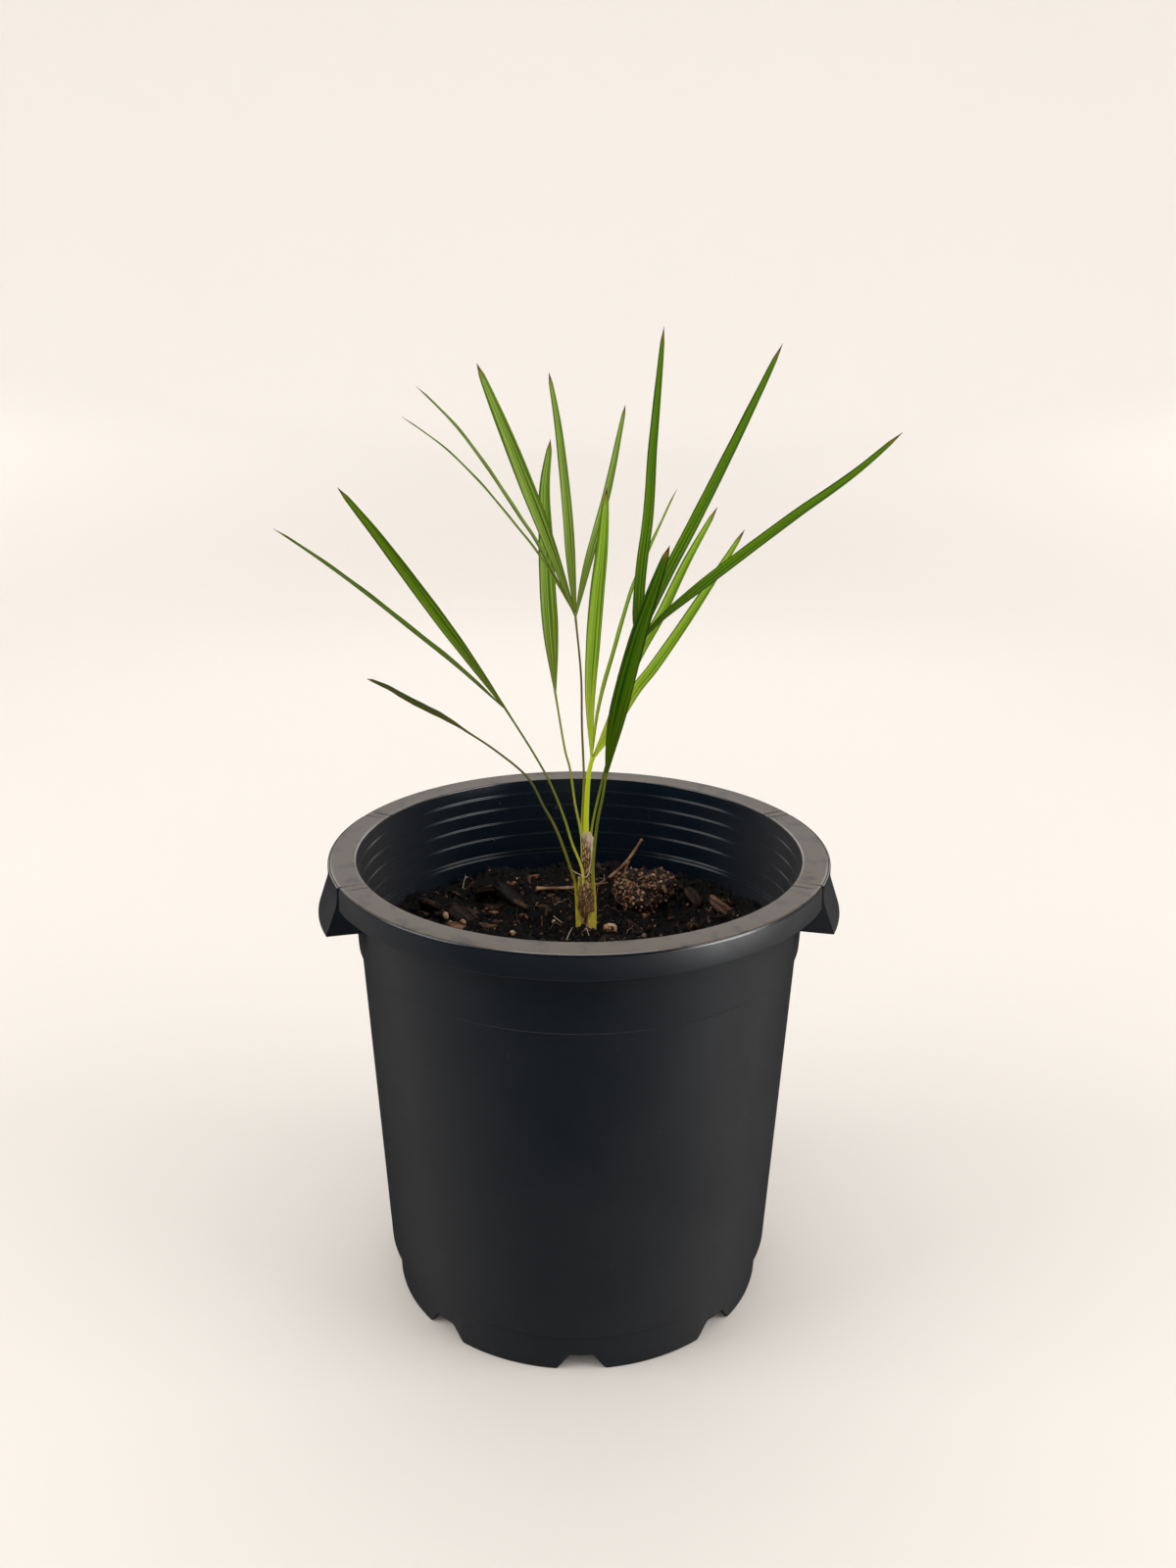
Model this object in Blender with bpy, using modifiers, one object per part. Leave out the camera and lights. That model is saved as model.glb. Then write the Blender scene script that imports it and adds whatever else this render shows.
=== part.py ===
"""A young fan palm in a black nursery pot, in metres with +Z up.

The origin is on the pot's axis, in the plane its foot stands on. The viewer stands on the
-Y side, with +X to the right. The pot is a turned shell with two grip lugs. It is filled
with a lumpy potting mix, in which a short stem base stands with seven leaves in its sockets.
"""

import math
import random

import bmesh
import bpy
from mathutils import Matrix, Vector

# Clear gap kept between touching pieces, and the sides of every turned shape
GAP = 0.0003
TURN_STEPS = 48

# Pot: overall sizes
POT_TURN = math.radians(1.5)
POT_HEIGHT = 0.1912
RIM_RADIUS = 0.1000
RIM_INNER_RADIUS = 0.0891
RIM_ROUNDING = 0.0009
RIM_PLATE = 0.0018
SKIRT_BOTTOM = 0.1814
SKIRT_WALL = 0.0016
SKIRT_SPLAY = 0.0002
WALL_RADIUS_AT_FLOOR = 0.08017
WALL_TAPER = 0.05481
WALL_THICKNESS = 0.0016
COLLAR_BOTTOM = 0.1553
COLLAR_PROUD = 0.0010
EDGE_BREAK = 0.0005

# Pot: foot ring, floor and drainage
FOOT_HEIGHT = 0.0177
FOOT_TOP_RADIUS = 0.0786
FOOT_BOTTOM_RADIUS = 0.0778
FOOT_WALL = 0.0018
FLOOR_UNDERSIDE = 0.0080
FLOOR_TOP = 0.0098
NOTCH_COUNT = 8
NOTCH_HEIGHT = 0.0068
NOTCH_BOTTOM_WIDTH = 0.0200
NOTCH_TOP_WIDTH = 0.0090
NOTCH_CUT_DEPTH = 0.0120
DRAIN_RADIUS = 0.0045
DRAIN_RING_RADIUS = 0.0600
DRAIN_CUT_DEPTH = 0.0060

# Pot: top of the step that the wall's foot makes on the inside
STEP_TOP = FOOT_HEIGHT + WALL_THICKNESS

# Pot: moulded ledges inside the wall, by height
LEDGE_HEIGHTS = (0.1559, 0.1574, 0.1652, 0.1720, 0.1786, 0.1849)
LEDGE_STEP = 0.0004

# Pot: grip lugs at left and right, each between two straight seams
LUG_HALF_WIDTH = 0.0395
LUG_PROUD = 0.0005
LUG_WALL = 0.0013
LUG_TOP_DROP = 0.0007
LUG_INNER_X = 0.0600
LUG_OUTER_X = 0.1200
LUG_LOW_Z = 0.1600
LUG_HIGH_Z = 0.2000
FLAP_START = 0.1845
FLAP_LIP = 0.0008
FLAP_TIP_RADIUS = 0.1052
FLAP_TIP_HEIGHT = 0.1704
WEB_WALL = 0.0011
WEB_INSET = 0.0005
WEB_BOTTOM = 0.1722
WEB_SINK = 0.0012
SEAM_WIDTH = 0.0009
SEAM_DEPTH = 0.0005
SEAM_LAP = 0.0002
SEAM_CLEAR = 0.0010

# Potting mix: mean surface and its lumps
MIX_TOP = 0.1495
MIX_RINGS = 13
LUMP_WAVES = (
    (0.0017, 118.0, 94.0, 0.6),
    (0.0012, -176.0, 205.0, 1.9),
    (0.0008, 296.0, 261.0, 0.3),
)

# Stem base: middle of the crown, and the plain hole it stands in
CROWN_X = 0.0030
CROWN_Y = 0.0139
CROWN_BOTTOM = 0.1185
CROWN_TOP = 0.1725
CROWN_DEPTH_RATIO = 1.40
HOLE_HALF_WIDTH = 0.0054
HOLE_HALF_DEPTH = 0.0060

# Bark in the mix: the pieces that show, as x, y, length, width, turn and tilt in degrees
BARK_THICKNESS = 0.0030
BARK_TOP_LENGTH = 0.78
BARK_TOP_WIDTH = 0.62
BARK_LIFT = 0.0006
SHOWN_BARK = (
    (-0.0420, 0.0480, 0.0130, 0.0110, 100.0, 34.0),
    (-0.0300, 0.0400, 0.0160, 0.0060, -38.0, 24.0),
    (-0.0370, 0.0330, 0.0090, 0.0060, 12.0, 14.0),
    (-0.0640, 0.0330, 0.0170, 0.0080, 66.0, 38.0),
    (-0.0510, 0.0240, 0.0120, 0.0070, -30.0, 26.0),
    (-0.0520, 0.0120, 0.0080, 0.0050, 25.0, 18.0),
    (-0.0380, 0.0110, 0.0080, 0.0060, 64.0, 20.0),
    (0.0480, 0.0140, 0.0130, 0.0050, 78.0, 42.0),
    (0.0500, 0.0440, 0.0100, 0.0050, -48.0, 36.0),
    (0.0630, 0.0360, 0.0140, 0.0060, -28.0, 30.0),
)
SCATTERED_BARK = 20
SCATTERED_LENGTHS = (0.0060, 0.0120)
SCATTERED_TILT = 26.0
BARK_SEED = 41
BARK_REACH = 0.0700
ROOM_ROUND_STEM = 0.0140
ROOM_ROUND_CLOD = 0.0170
ROOM_ROUND_NUGGET = 0.0080
ROOM_ROUND_STICKS = 0.0120

# Loose things resting in the mix
CLOD_CENTRE = (0.0265, 0.0405, 0.1560)
CLOD_HALF_SIZES = (0.0122, 0.0100, 0.0075)
NUGGET_CENTRE = (0.0128, 0.0100, 0.1515)
NUGGET_HALF_SIZES = (0.0028, 0.0020, 0.0019)
STICK_RADIUS = 0.0008
STICK_ROUTE = ((-0.0195, 0.0490, 0.1528), (-0.0030, 0.0520, 0.1522), (0.0125, 0.0555, 0.1530))
TWIG_RADIUS = 0.0007
TWIG_ROUTE = (
    (0.0078, 0.0600, 0.1500),
    (0.0140, 0.0625, 0.1535),
    (0.0215, 0.0655, 0.1600),
    (0.0280, 0.0690, 0.1690),
)
TWIG_PRONG = ((0.0222, 0.0656, 0.1610), (0.0200, 0.0640, 0.1545))

# Stem base: its section as (radius, height), from the top down
CROWN_SECTION = (
    (0.0, CROWN_TOP),
    (0.0028, CROWN_TOP),
    (0.0034, 0.1675),
    (0.0036, 0.1560),
    (0.0036, 0.1450),
    (0.0030, 0.1280),
    (0.0016, CROWN_BOTTOM),
    (0.0, CROWN_BOTTOM),
)
CROWN_SIDES = 20

# Dry sheath: a torn, papery half sleeve round the newest leaf stalk
SHEATH_CENTRE = (0.0031, 0.0128)
SHEATH_HALF_WIDTH = 0.0025
SHEATH_HALF_DEPTH = 0.0021
SHEATH_TOP = 0.1905
SHEATH_EDGE_DROP = 0.0050
SHEATH_TEAR = 0.0012
SHEATH_SPREAD = math.radians(62)
SHEATH_THICKNESS = 0.0006

# Leaf blades: folded strips split from one palm, and their stalks
BLADE_THICKNESS = 0.0007
BLADE_FOLD = 0.20
BLADE_STATIONS = 10
BLADE_ROOT = 0.0050
BLADE_ROOT_WIDTH = 0.0010
BLADE_TIP_WIDTH = 0.0009
STALK_STATIONS = 12
SOCKET_TOP = 0.1800

# Each leaf: its stalk's route, the stalk's radius at foot and tip, the way its upper side
# faces, and its segments. A segment has a route, its widest width, how far along the route it
# is widest, and its own upper side where it is turned from the rest.
LEAVES = {
    "leaf_low_left": {
        "stalk": (
            (-0.0005, 0.0128, 0.1410),
            (-0.0009, 0.0128, 0.1580),
            (-0.0015, 0.0126, 0.1690),
            (-0.0030, 0.0122, 0.1753),
            (-0.0091, 0.0097, 0.1945),
            (-0.0146, 0.0074, 0.2064),
            (-0.0211, 0.0043, 0.2200),
            (-0.0333, 0.0002, 0.2323),
            (-0.0455, -0.0040, 0.2423),
        ),
        "radii": (0.00115, 0.00062),
        "upper_side": (0.30, -0.60, 0.75),
        "segments": (
            {"route": ((-0.0530, -0.0060, 0.2475), (-0.0600, -0.0085, 0.2520),
                       (-0.0670, -0.0105, 0.2565), (-0.0735, -0.0135, 0.2615),
                       (-0.0805, -0.0160, 0.2655)),
             "width": 0.0029, "widest_at": 0.50},
        ),
    },
    "leaf_left": {
        "stalk": (
            (0.0019, 0.0095, 0.1640),
            (0.0009, 0.0093, 0.1786),
            (-0.0030, 0.0096, 0.1894),
            (-0.0063, 0.0098, 0.2005),
            (-0.0119, 0.0102, 0.2151),
            (-0.0189, 0.0109, 0.2282),
            (-0.0302, 0.0120, 0.2466),
        ),
        "radii": (0.00090, 0.00062),
        "upper_side": (0.35, -0.85, 0.40),
        "segments": (
            {"route": ((-0.0435, 0.0150, 0.2645), (-0.0565, 0.0185, 0.2815),
                       (-0.0695, 0.0220, 0.2985), (-0.0825, 0.0260, 0.3150),
                       (-0.0960, 0.0300, 0.3310)),
             "width": 0.0052, "widest_at": 0.55},
            {"route": ((-0.0480, 0.0100, 0.2630), (-0.0650, 0.0075, 0.2780),
                       (-0.0825, 0.0045, 0.2935), (-0.0990, 0.0020, 0.3070),
                       (-0.1155, -0.0010, 0.3195)),
             "width": 0.0042, "widest_at": 0.45, "upper_side": (0.55, -0.16, 0.81)},
        ),
    },
    "leaf_back": {
        "stalk": (
            (0.0018, 0.0172, 0.1640),
            (0.0012, 0.0175, 0.1790),
            (0.0005, 0.0178, 0.1911),
            (-0.0020, 0.0201, 0.2032),
            (-0.0041, 0.0240, 0.2165),
            (-0.0066, 0.0272, 0.2257),
            (-0.0108, 0.0360, 0.2480),
        ),
        "radii": (0.00085, 0.00066),
        "upper_side": (0.35, -0.92, 0.15),
        "segments": (
            {"route": ((-0.0130, 0.0445, 0.2700), (-0.0145, 0.0525, 0.2880),
                       (-0.0155, 0.0620, 0.3070), (-0.0160, 0.0715, 0.3260),
                       (-0.0135, 0.0820, 0.3450)),
             "width": 0.0072, "widest_at": 0.45},
        ),
    },
    "leaf_tall": {
        "stalk": (
            (0.0024, 0.0152, 0.1640),
            (0.0013, 0.0154, 0.1850),
            (0.0009, 0.0155, 0.1963),
            (0.0016, 0.0168, 0.2146),
            (0.0007, 0.0193, 0.2365),
            (0.0002, 0.0221, 0.2575),
            (-0.0023, 0.0260, 0.2824),
        ),
        "radii": (0.00085, 0.00060),
        "upper_side": (0.00, -0.97, 0.25),
        "segments": (
            {"route": ((-0.0105, 0.0255, 0.2955), (-0.0185, 0.0245, 0.3080),
                       (-0.0260, 0.0240, 0.3175), (-0.0390, 0.0225, 0.3335),
                       (-0.0530, 0.0215, 0.3475), (-0.0685, 0.0200, 0.3590)),
             "width": 0.0034, "widest_at": 0.40, "upper_side": (0.70, 0.09, 0.66)},
            {"route": ((-0.0110, 0.0270, 0.2975), (-0.0185, 0.0280, 0.3110),
                       (-0.0250, 0.0285, 0.3205), (-0.0370, 0.0295, 0.3385),
                       (-0.0495, 0.0305, 0.3550), (-0.0640, 0.0320, 0.3695)),
             "width": 0.0038, "widest_at": 0.55, "upper_side": (0.67, -0.12, 0.70)},
            {"route": ((-0.0085, 0.0285, 0.2985), (-0.0155, 0.0320, 0.3165),
                       (-0.0215, 0.0350, 0.3310), (-0.0295, 0.0395, 0.3500),
                       (-0.0415, 0.0460, 0.3775)),
             "width": 0.0058, "widest_at": 0.60},
            {"route": ((-0.0040, 0.0315, 0.3010), (-0.0055, 0.0380, 0.3195),
                       (-0.0075, 0.0450, 0.3375), (-0.0100, 0.0525, 0.3555),
                       (-0.0135, 0.0600, 0.3735)),
             "width": 0.0040, "widest_at": 0.45},
            {"route": ((0.0020, 0.0310, 0.2985), (0.0055, 0.0360, 0.3110),
                       (0.0095, 0.0420, 0.3250), (0.0125, 0.0475, 0.3375),
                       (0.0175, 0.0580, 0.3610)),
             "width": 0.0034, "widest_at": 0.45},
        ),
    },
    "leaf_new": {
        "stalk": (
            (0.0033, 0.0124, 0.1640),
            (0.0029, 0.0124, 0.1780),
            (0.0026, 0.0128, 0.1947),
            (0.0029, 0.0137, 0.2068),
            (0.0036, 0.0150, 0.2178),
            (0.0052, 0.0160, 0.2250),
        ),
        "radii": (0.00115, 0.00085),
        "upper_side": (-0.10, -0.95, 0.30),
        "segments": (
            {"route": ((0.0040, 0.0190, 0.2475), (0.0050, 0.0225, 0.2690),
                       (0.0065, 0.0260, 0.2895), (0.0085, 0.0295, 0.3095),
                       (0.0100, 0.0340, 0.3310)),
             "width": 0.0059, "widest_at": 0.62},
            {"route": ((0.0080, 0.0210, 0.2450), (0.0145, 0.0285, 0.2680),
                       (0.0210, 0.0360, 0.2895), (0.0280, 0.0425, 0.3055),
                       (0.0390, 0.0520, 0.3285)),
             "width": 0.0040, "widest_at": 0.45, "upper_side": (-0.88, -0.22, 0.40)},
            {"route": ((0.0120, 0.0195, 0.2395), (0.0230, 0.0275, 0.2635),
                       (0.0325, 0.0335, 0.2800), (0.0430, 0.0415, 0.3005),
                       (0.0555, 0.0500, 0.3215)),
             "width": 0.0040, "widest_at": 0.60},
            {"route": ((0.0130, 0.0180, 0.2355), (0.0220, 0.0215, 0.2510),
                       (0.0300, 0.0245, 0.2610), (0.0425, 0.0295, 0.2785),
                       (0.0545, 0.0345, 0.2965), (0.0660, 0.0400, 0.3140)),
             "width": 0.0044, "widest_at": 0.45},
        ),
    },
    "leaf_front": {
        "stalk": (
            (0.0063, 0.0113, 0.1410),
            (0.0064, 0.0112, 0.1581),
            (0.0060, 0.0103, 0.1687),
            (0.0055, 0.0092, 0.1783),
            (0.0062, 0.0074, 0.1899),
            (0.0073, 0.0048, 0.2011),
            (0.0092, 0.0015, 0.2128),
            (0.0106, -0.0020, 0.2239),
        ),
        "radii": (0.00125, 0.00070),
        "upper_side": (0.10, 0.80, 0.60),
        "segments": (
            {"route": ((0.0130, -0.0080, 0.2415), (0.0170, -0.0170, 0.2635),
                       (0.0215, -0.0270, 0.2850), (0.0265, -0.0380, 0.3050),
                       (0.0310, -0.0480, 0.3220)),
             "width": 0.0070, "widest_at": 0.45},
        ),
    },
    "leaf_right": {
        "stalk": (
            (0.0052, 0.0144, 0.1640),
            (0.0047, 0.0144, 0.1850),
            (0.0050, 0.0142, 0.1951),
            (0.0081, 0.0127, 0.2114),
            (0.0100, 0.0116, 0.2202),
            (0.0130, 0.0096, 0.2341),
            (0.0170, 0.0064, 0.2533),
            (0.0223, 0.0020, 0.2762),
        ),
        "radii": (0.00080, 0.00065),
        "upper_side": (-0.30, -0.90, 0.30),
        "segments": (
            {"route": ((0.0230, 0.0010, 0.3015), (0.0255, 0.0000, 0.3255),
                       (0.0265, -0.0015, 0.3490), (0.0280, -0.0025, 0.3710),
                       (0.0295, -0.0040, 0.3930)),
             "width": 0.0045, "widest_at": 0.30},
            {"route": ((0.0320, -0.0020, 0.3010), (0.0425, -0.0065, 0.3240),
                       (0.0525, -0.0115, 0.3465), (0.0615, -0.0165, 0.3675),
                       (0.0700, -0.0220, 0.3880)),
             "width": 0.0045, "widest_at": 0.45},
            {"route": ((0.0300, 0.0010, 0.2845), (0.0415, -0.0005, 0.2950),
                       (0.0610, -0.0040, 0.3115), (0.0800, -0.0070, 0.3270),
                       (0.0990, -0.0110, 0.3420), (0.1155, -0.0145, 0.3575)),
             "width": 0.0040, "widest_at": 0.45},
        ),
    },
}


# Scene set-up and small helpers

for old_object in list(bpy.data.objects):
    bpy.data.objects.remove(old_object, do_unlink=True)

PARTS = bpy.data.collections.new("potted_thatch_palm")
CUTTERS = bpy.data.collections.new("cutters")
bpy.context.scene.collection.children.link(PARTS)
bpy.context.scene.collection.children.link(CUTTERS)


def plain_material(name, colour, roughness):
    """A Principled BSDF material of one colour."""
    material = bpy.data.materials.new(name)
    material.use_nodes = True
    shader = material.node_tree.nodes["Principled BSDF"]
    shader.inputs["Base Color"].default_value = (*colour, 1.0)
    shader.inputs["Roughness"].default_value = roughness
    shader.inputs["Metallic"].default_value = 0.0
    return material


def add_object(name, data, collection=PARTS):
    """An object in the given collection; those among the cutters are drawn as guides."""
    thing = bpy.data.objects.new(name, data)
    collection.objects.link(thing)
    if collection is CUTTERS:
        thing.hide_render = True
        thing.display_type = "WIRE"
    return thing


def mesh_from_bmesh(name, bm):
    mesh = bpy.data.meshes.new(name)
    bm.to_mesh(mesh)
    bm.free()
    return mesh


def turned(name, outline, closed=False, collection=PARTS, steps=TURN_STEPS):
    """A profile of (radius, height) points turned about Z, its outer side running down."""
    mesh = bpy.data.meshes.new(name)
    points = [(radius, 0.0, height) for radius, height in outline]
    edges = [(index, index + 1) for index in range(len(points) - 1)]
    if closed:
        edges.append((len(points) - 1, 0))
    mesh.from_pydata(points, edges, [])
    thing = add_object(name, mesh, collection)
    screw = thing.modifiers.new("turn", "SCREW")
    screw.axis = "Z"
    screw.steps = steps
    screw.render_steps = steps
    screw.use_merge_vertices = True
    screw.merge_threshold = 0.00002
    return thing


def boxes(name, spans, collection=CUTTERS):
    """Boxes in one mesh, each given by its low and high corners."""
    bm = bmesh.new()
    for low, high in spans:
        size = [high[axis] - low[axis] for axis in range(3)]
        middle = [(high[axis] + low[axis]) / 2 for axis in range(3)]
        place = Matrix.Translation(middle) @ Matrix.Diagonal((*size, 1.0))
        bmesh.ops.create_cube(bm, size=1.0, matrix=place)
    return add_object(name, mesh_from_bmesh(name, bm), collection)


def combine(target, other, operation, solver="EXACT"):
    """A live Boolean of one object with another."""
    modifier = target.modifiers.new(operation.lower() + "_" + other.name, "BOOLEAN")
    modifier.operation = operation
    modifier.solver = solver
    modifier.object = other


def combine_all(target, collection, operation):
    """A live Boolean of one object with everything in a collection."""
    modifier = target.modifiers.new(operation.lower() + "_" + collection.name, "BOOLEAN")
    modifier.operation = operation
    modifier.solver = "EXACT"
    modifier.operand_type = "COLLECTION"
    modifier.collection = collection


def evaluated_mesh(thing, name):
    """The mesh an object has once its modifiers are applied."""
    bpy.context.view_layer.update()
    depsgraph = bpy.context.evaluated_depsgraph_get()
    mesh = bpy.data.meshes.new_from_object(thing.evaluated_get(depsgraph))
    mesh.name = name
    return mesh


def smooth_route(points, count):
    """Evenly numbered points on a Catmull-Rom curve through the given ones."""
    knots = [Vector(point) for point in points]
    knots = [knots[0] * 2 - knots[1], *knots, knots[-1] * 2 - knots[-2]]
    route = []
    for index in range(count):
        place = index / (count - 1) * (len(points) - 1)
        span = min(int(place), len(points) - 2)
        t = place - span
        before, start, end, after = knots[span:span + 4]
        bend = (2 * before - 5 * start + 4 * end - after) * t * t
        twist = (3 * start - before - 3 * end + after) * t * t * t
        route.append((2 * start + (end - before) * t + bend + twist) / 2)
    return route


def tube(name, route, radii, collection=PARTS):
    """A capped round tube as a mesh, its radius running from radii[0] to radii[1]."""
    curve = bpy.data.curves.new(name, "CURVE")
    curve.dimensions = "3D"
    curve.bevel_depth = 1.0
    curve.bevel_resolution = 2
    curve.use_fill_caps = True
    spline = curve.splines.new("POLY")
    spline.points.add(len(route) - 1)
    for index, (point, place) in enumerate(zip(spline.points, route)):
        share = index / (len(route) - 1)
        point.co = (*place, 1.0)
        point.radius = radii[0] + (radii[1] - radii[0]) * share
    guide = bpy.data.objects.new(name + "_curve", curve)
    CUTTERS.objects.link(guide)
    mesh = evaluated_mesh(guide, name)
    bpy.data.objects.remove(guide)
    bm = bmesh.new()
    bm.from_mesh(mesh)
    bmesh.ops.remove_doubles(bm, verts=bm.verts, dist=0.00001)
    bm.to_mesh(mesh)
    bm.free()
    return add_object(name, mesh, collection)


# The pot and its grip lugs

def outer_wall(height):
    """Outer radius of the tapered wall at a height."""
    return WALL_RADIUS_AT_FLOOR + WALL_TAPER * height


def inner_wall(height):
    """Inner radius of the tapered wall at a height."""
    return outer_wall(height) - WALL_THICKNESS


def foot_inner(height):
    """Inner radius of the foot ring at a height."""
    share = height / FOOT_HEIGHT
    return FOOT_BOTTOM_RADIUS + (FOOT_TOP_RADIUS - FOOT_BOTTOM_RADIUS) * share - FOOT_WALL


def pot_outline():
    """The pot's section: floor, inner wall with ledges, rim, skirt channel, wall and foot."""
    points = [(0.0, FLOOR_TOP), (foot_inner(FLOOR_TOP), FLOOR_TOP)]
    points += [(foot_inner(FOOT_HEIGHT), STEP_TOP), (inner_wall(STEP_TOP), STEP_TOP + EDGE_BREAK)]
    for height in LEDGE_HEIGHTS:
        points.append((inner_wall(height) - LEDGE_STEP / 2, height))
        points.append((inner_wall(height) + LEDGE_STEP / 2, height + LEDGE_STEP))
    points += [(RIM_INNER_RADIUS, POT_HEIGHT - EDGE_BREAK)]
    points += [(RIM_INNER_RADIUS + EDGE_BREAK, POT_HEIGHT)]
    for step in range(3):
        angle = math.radians(45 * step)
        across = RIM_ROUNDING * (1 - math.sin(angle))
        down = RIM_ROUNDING * (1 - math.cos(angle))
        points.append((RIM_RADIUS - across, POT_HEIGHT - down))
    points += [(RIM_RADIUS + SKIRT_SPLAY, SKIRT_BOTTOM)]
    skirt_inner = RIM_RADIUS - SKIRT_WALL
    roof = POT_HEIGHT - RIM_PLATE
    points += [(skirt_inner, SKIRT_BOTTOM), (skirt_inner, roof)]
    points += [(outer_wall(roof) + COLLAR_PROUD, roof)]
    points += [(outer_wall(COLLAR_BOTTOM) + COLLAR_PROUD, COLLAR_BOTTOM)]
    points += [(outer_wall(COLLAR_BOTTOM), COLLAR_BOTTOM - EDGE_BREAK)]
    points += [(outer_wall(FOOT_HEIGHT), FOOT_HEIGHT + EDGE_BREAK), (FOOT_TOP_RADIUS, FOOT_HEIGHT)]
    points += [(FOOT_BOTTOM_RADIUS, EDGE_BREAK), (FOOT_BOTTOM_RADIUS - EDGE_BREAK, 0.0)]
    points += [(foot_inner(0.0), 0.0), (foot_inner(FLOOR_UNDERSIDE), FLOOR_UNDERSIDE)]
    points += [(0.0, FLOOR_UNDERSIDE)]
    return points


def both_sides(low_y, high_y):
    """A box between two values of Y round the right lug, and its twin round the left one."""
    right = ((LUG_INNER_X, low_y, LUG_LOW_Z), (LUG_OUTER_X, high_y, LUG_HIGH_Z))
    left = ((-LUG_OUTER_X, low_y, LUG_LOW_Z), (-LUG_INNER_X, high_y, LUG_HIGH_Z))
    return [right, left]


def add_lugs(pot, holder):
    """Grip lugs: a proud skirt that flares to a flap, held by a web at each end."""
    proud = RIM_RADIUS + LUG_PROUD
    top = POT_HEIGHT - LUG_TOP_DROP
    flap = turned("lug_flap_ring", [
        (proud, top),
        (proud, FLAP_START),
        (FLAP_TIP_RADIUS, FLAP_TIP_HEIGHT + FLAP_LIP),
        (FLAP_TIP_RADIUS, FLAP_TIP_HEIGHT),
        (FLAP_TIP_RADIUS - LUG_WALL, FLAP_TIP_HEIGHT + FLAP_LIP / 4),
        (proud - LUG_WALL, FLAP_START),
        (proud - LUG_WALL, top - LUG_TOP_DROP),
    ], closed=True, collection=CUTTERS)
    flap_span = boxes("lug_span", both_sides(-LUG_HALF_WIDTH, LUG_HALF_WIDTH))
    combine(flap, flap_span, "INTERSECT")

    flare = (FLAP_TIP_RADIUS - proud) / (FLAP_START - FLAP_TIP_HEIGHT)
    web_reach = proud + (FLAP_START - WEB_BOTTOM) * flare - LUG_WALL / 2
    web_top = POT_HEIGHT - WEB_SINK
    web = turned("lug_web_ring", [
        (proud - LUG_WALL / 2, web_top),
        (proud - LUG_WALL / 2, FLAP_START),
        (web_reach, WEB_BOTTOM),
        (inner_wall(WEB_BOTTOM) + WEB_SINK, WEB_BOTTOM),
        (inner_wall(web_top) + WEB_SINK, web_top),
    ], closed=True, collection=CUTTERS)
    edge = LUG_HALF_WIDTH - WEB_INSET
    plates = both_sides(edge - WEB_WALL, edge) + both_sides(-edge, WEB_WALL - edge)
    web_plates = boxes("web_plates", plates)
    combine(web, web_plates, "INTERSECT")

    seam = turned("lug_seam_ring", [
        (RIM_RADIUS + SEAM_CLEAR, POT_HEIGHT + SEAM_CLEAR),
        (RIM_RADIUS + SEAM_CLEAR, SKIRT_BOTTOM - SEAM_CLEAR),
        (RIM_RADIUS - SEAM_DEPTH, SKIRT_BOTTOM - SEAM_CLEAR),
        (RIM_RADIUS - SEAM_DEPTH, POT_HEIGHT - SEAM_DEPTH),
        (RIM_INNER_RADIUS - SEAM_CLEAR, POT_HEIGHT - SEAM_DEPTH),
        (RIM_INNER_RADIUS - SEAM_CLEAR, POT_HEIGHT + SEAM_CLEAR),
    ], closed=True, collection=CUTTERS)
    start = LUG_HALF_WIDTH - SEAM_LAP
    slots = both_sides(start, start + SEAM_WIDTH) + both_sides(-start - SEAM_WIDTH, -start)
    seam_slots = boxes("seam_slots", slots)
    combine(seam, seam_slots, "INTERSECT")

    combine(pot, flap, "UNION")
    combine(pot, web, "UNION", solver="MANIFOLD")
    combine(pot, seam, "DIFFERENCE")
    for guide in (flap, flap_span, web, web_plates, seam, seam_slots):
        guide.parent = holder


def add_drainage(pot, holder):
    """Notches through the foot ring and a round hole in the floor behind each of them."""
    notches = bmesh.new()
    drains = bmesh.new()
    for index in range(NOTCH_COUNT):
        spin = Matrix.Rotation(math.tau * index / NOTCH_COUNT, 4, "Z")
        place = Matrix.Translation((FOOT_BOTTOM_RADIUS, 0.0, (NOTCH_HEIGHT - EDGE_BREAK) / 2))
        size = (NOTCH_CUT_DEPTH, NOTCH_BOTTOM_WIDTH, NOTCH_HEIGHT + EDGE_BREAK, 1.0)
        made = bmesh.ops.create_cube(notches, size=1.0)
        for vert in made["verts"]:
            if vert.co.z > 0.0:
                vert.co.y *= NOTCH_TOP_WIDTH / NOTCH_BOTTOM_WIDTH
        shape = spin @ place @ Matrix.Diagonal(size)
        bmesh.ops.transform(notches, matrix=shape, verts=made["verts"])
        middle = Matrix.Translation((DRAIN_RING_RADIUS, 0.0, (FLOOR_TOP + FLOOR_UNDERSIDE) / 2))
        bmesh.ops.create_cone(
            drains, cap_ends=True, segments=12, radius1=DRAIN_RADIUS, radius2=DRAIN_RADIUS,
            depth=DRAIN_CUT_DEPTH, matrix=spin @ middle)
    notch_cutter = add_object("drain_notches", mesh_from_bmesh("drain_notches", notches), CUTTERS)
    drain_cutter = add_object("drain_holes", mesh_from_bmesh("drain_holes", drains), CUTTERS)
    for cutter in (notch_cutter, drain_cutter):
        cutter.parent = holder
        combine(pot, cutter, "DIFFERENCE")


def add_pot(holder):
    """The nursery pot in one moulded piece."""
    pot = turned("pot", pot_outline())
    pot.parent = holder
    add_lugs(pot, holder)
    add_drainage(pot, holder)
    pot.data.materials.append(plain_material("black_plastic", (0.012, 0.014, 0.018), 0.38))


# The potting mix and what rests in it

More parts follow.
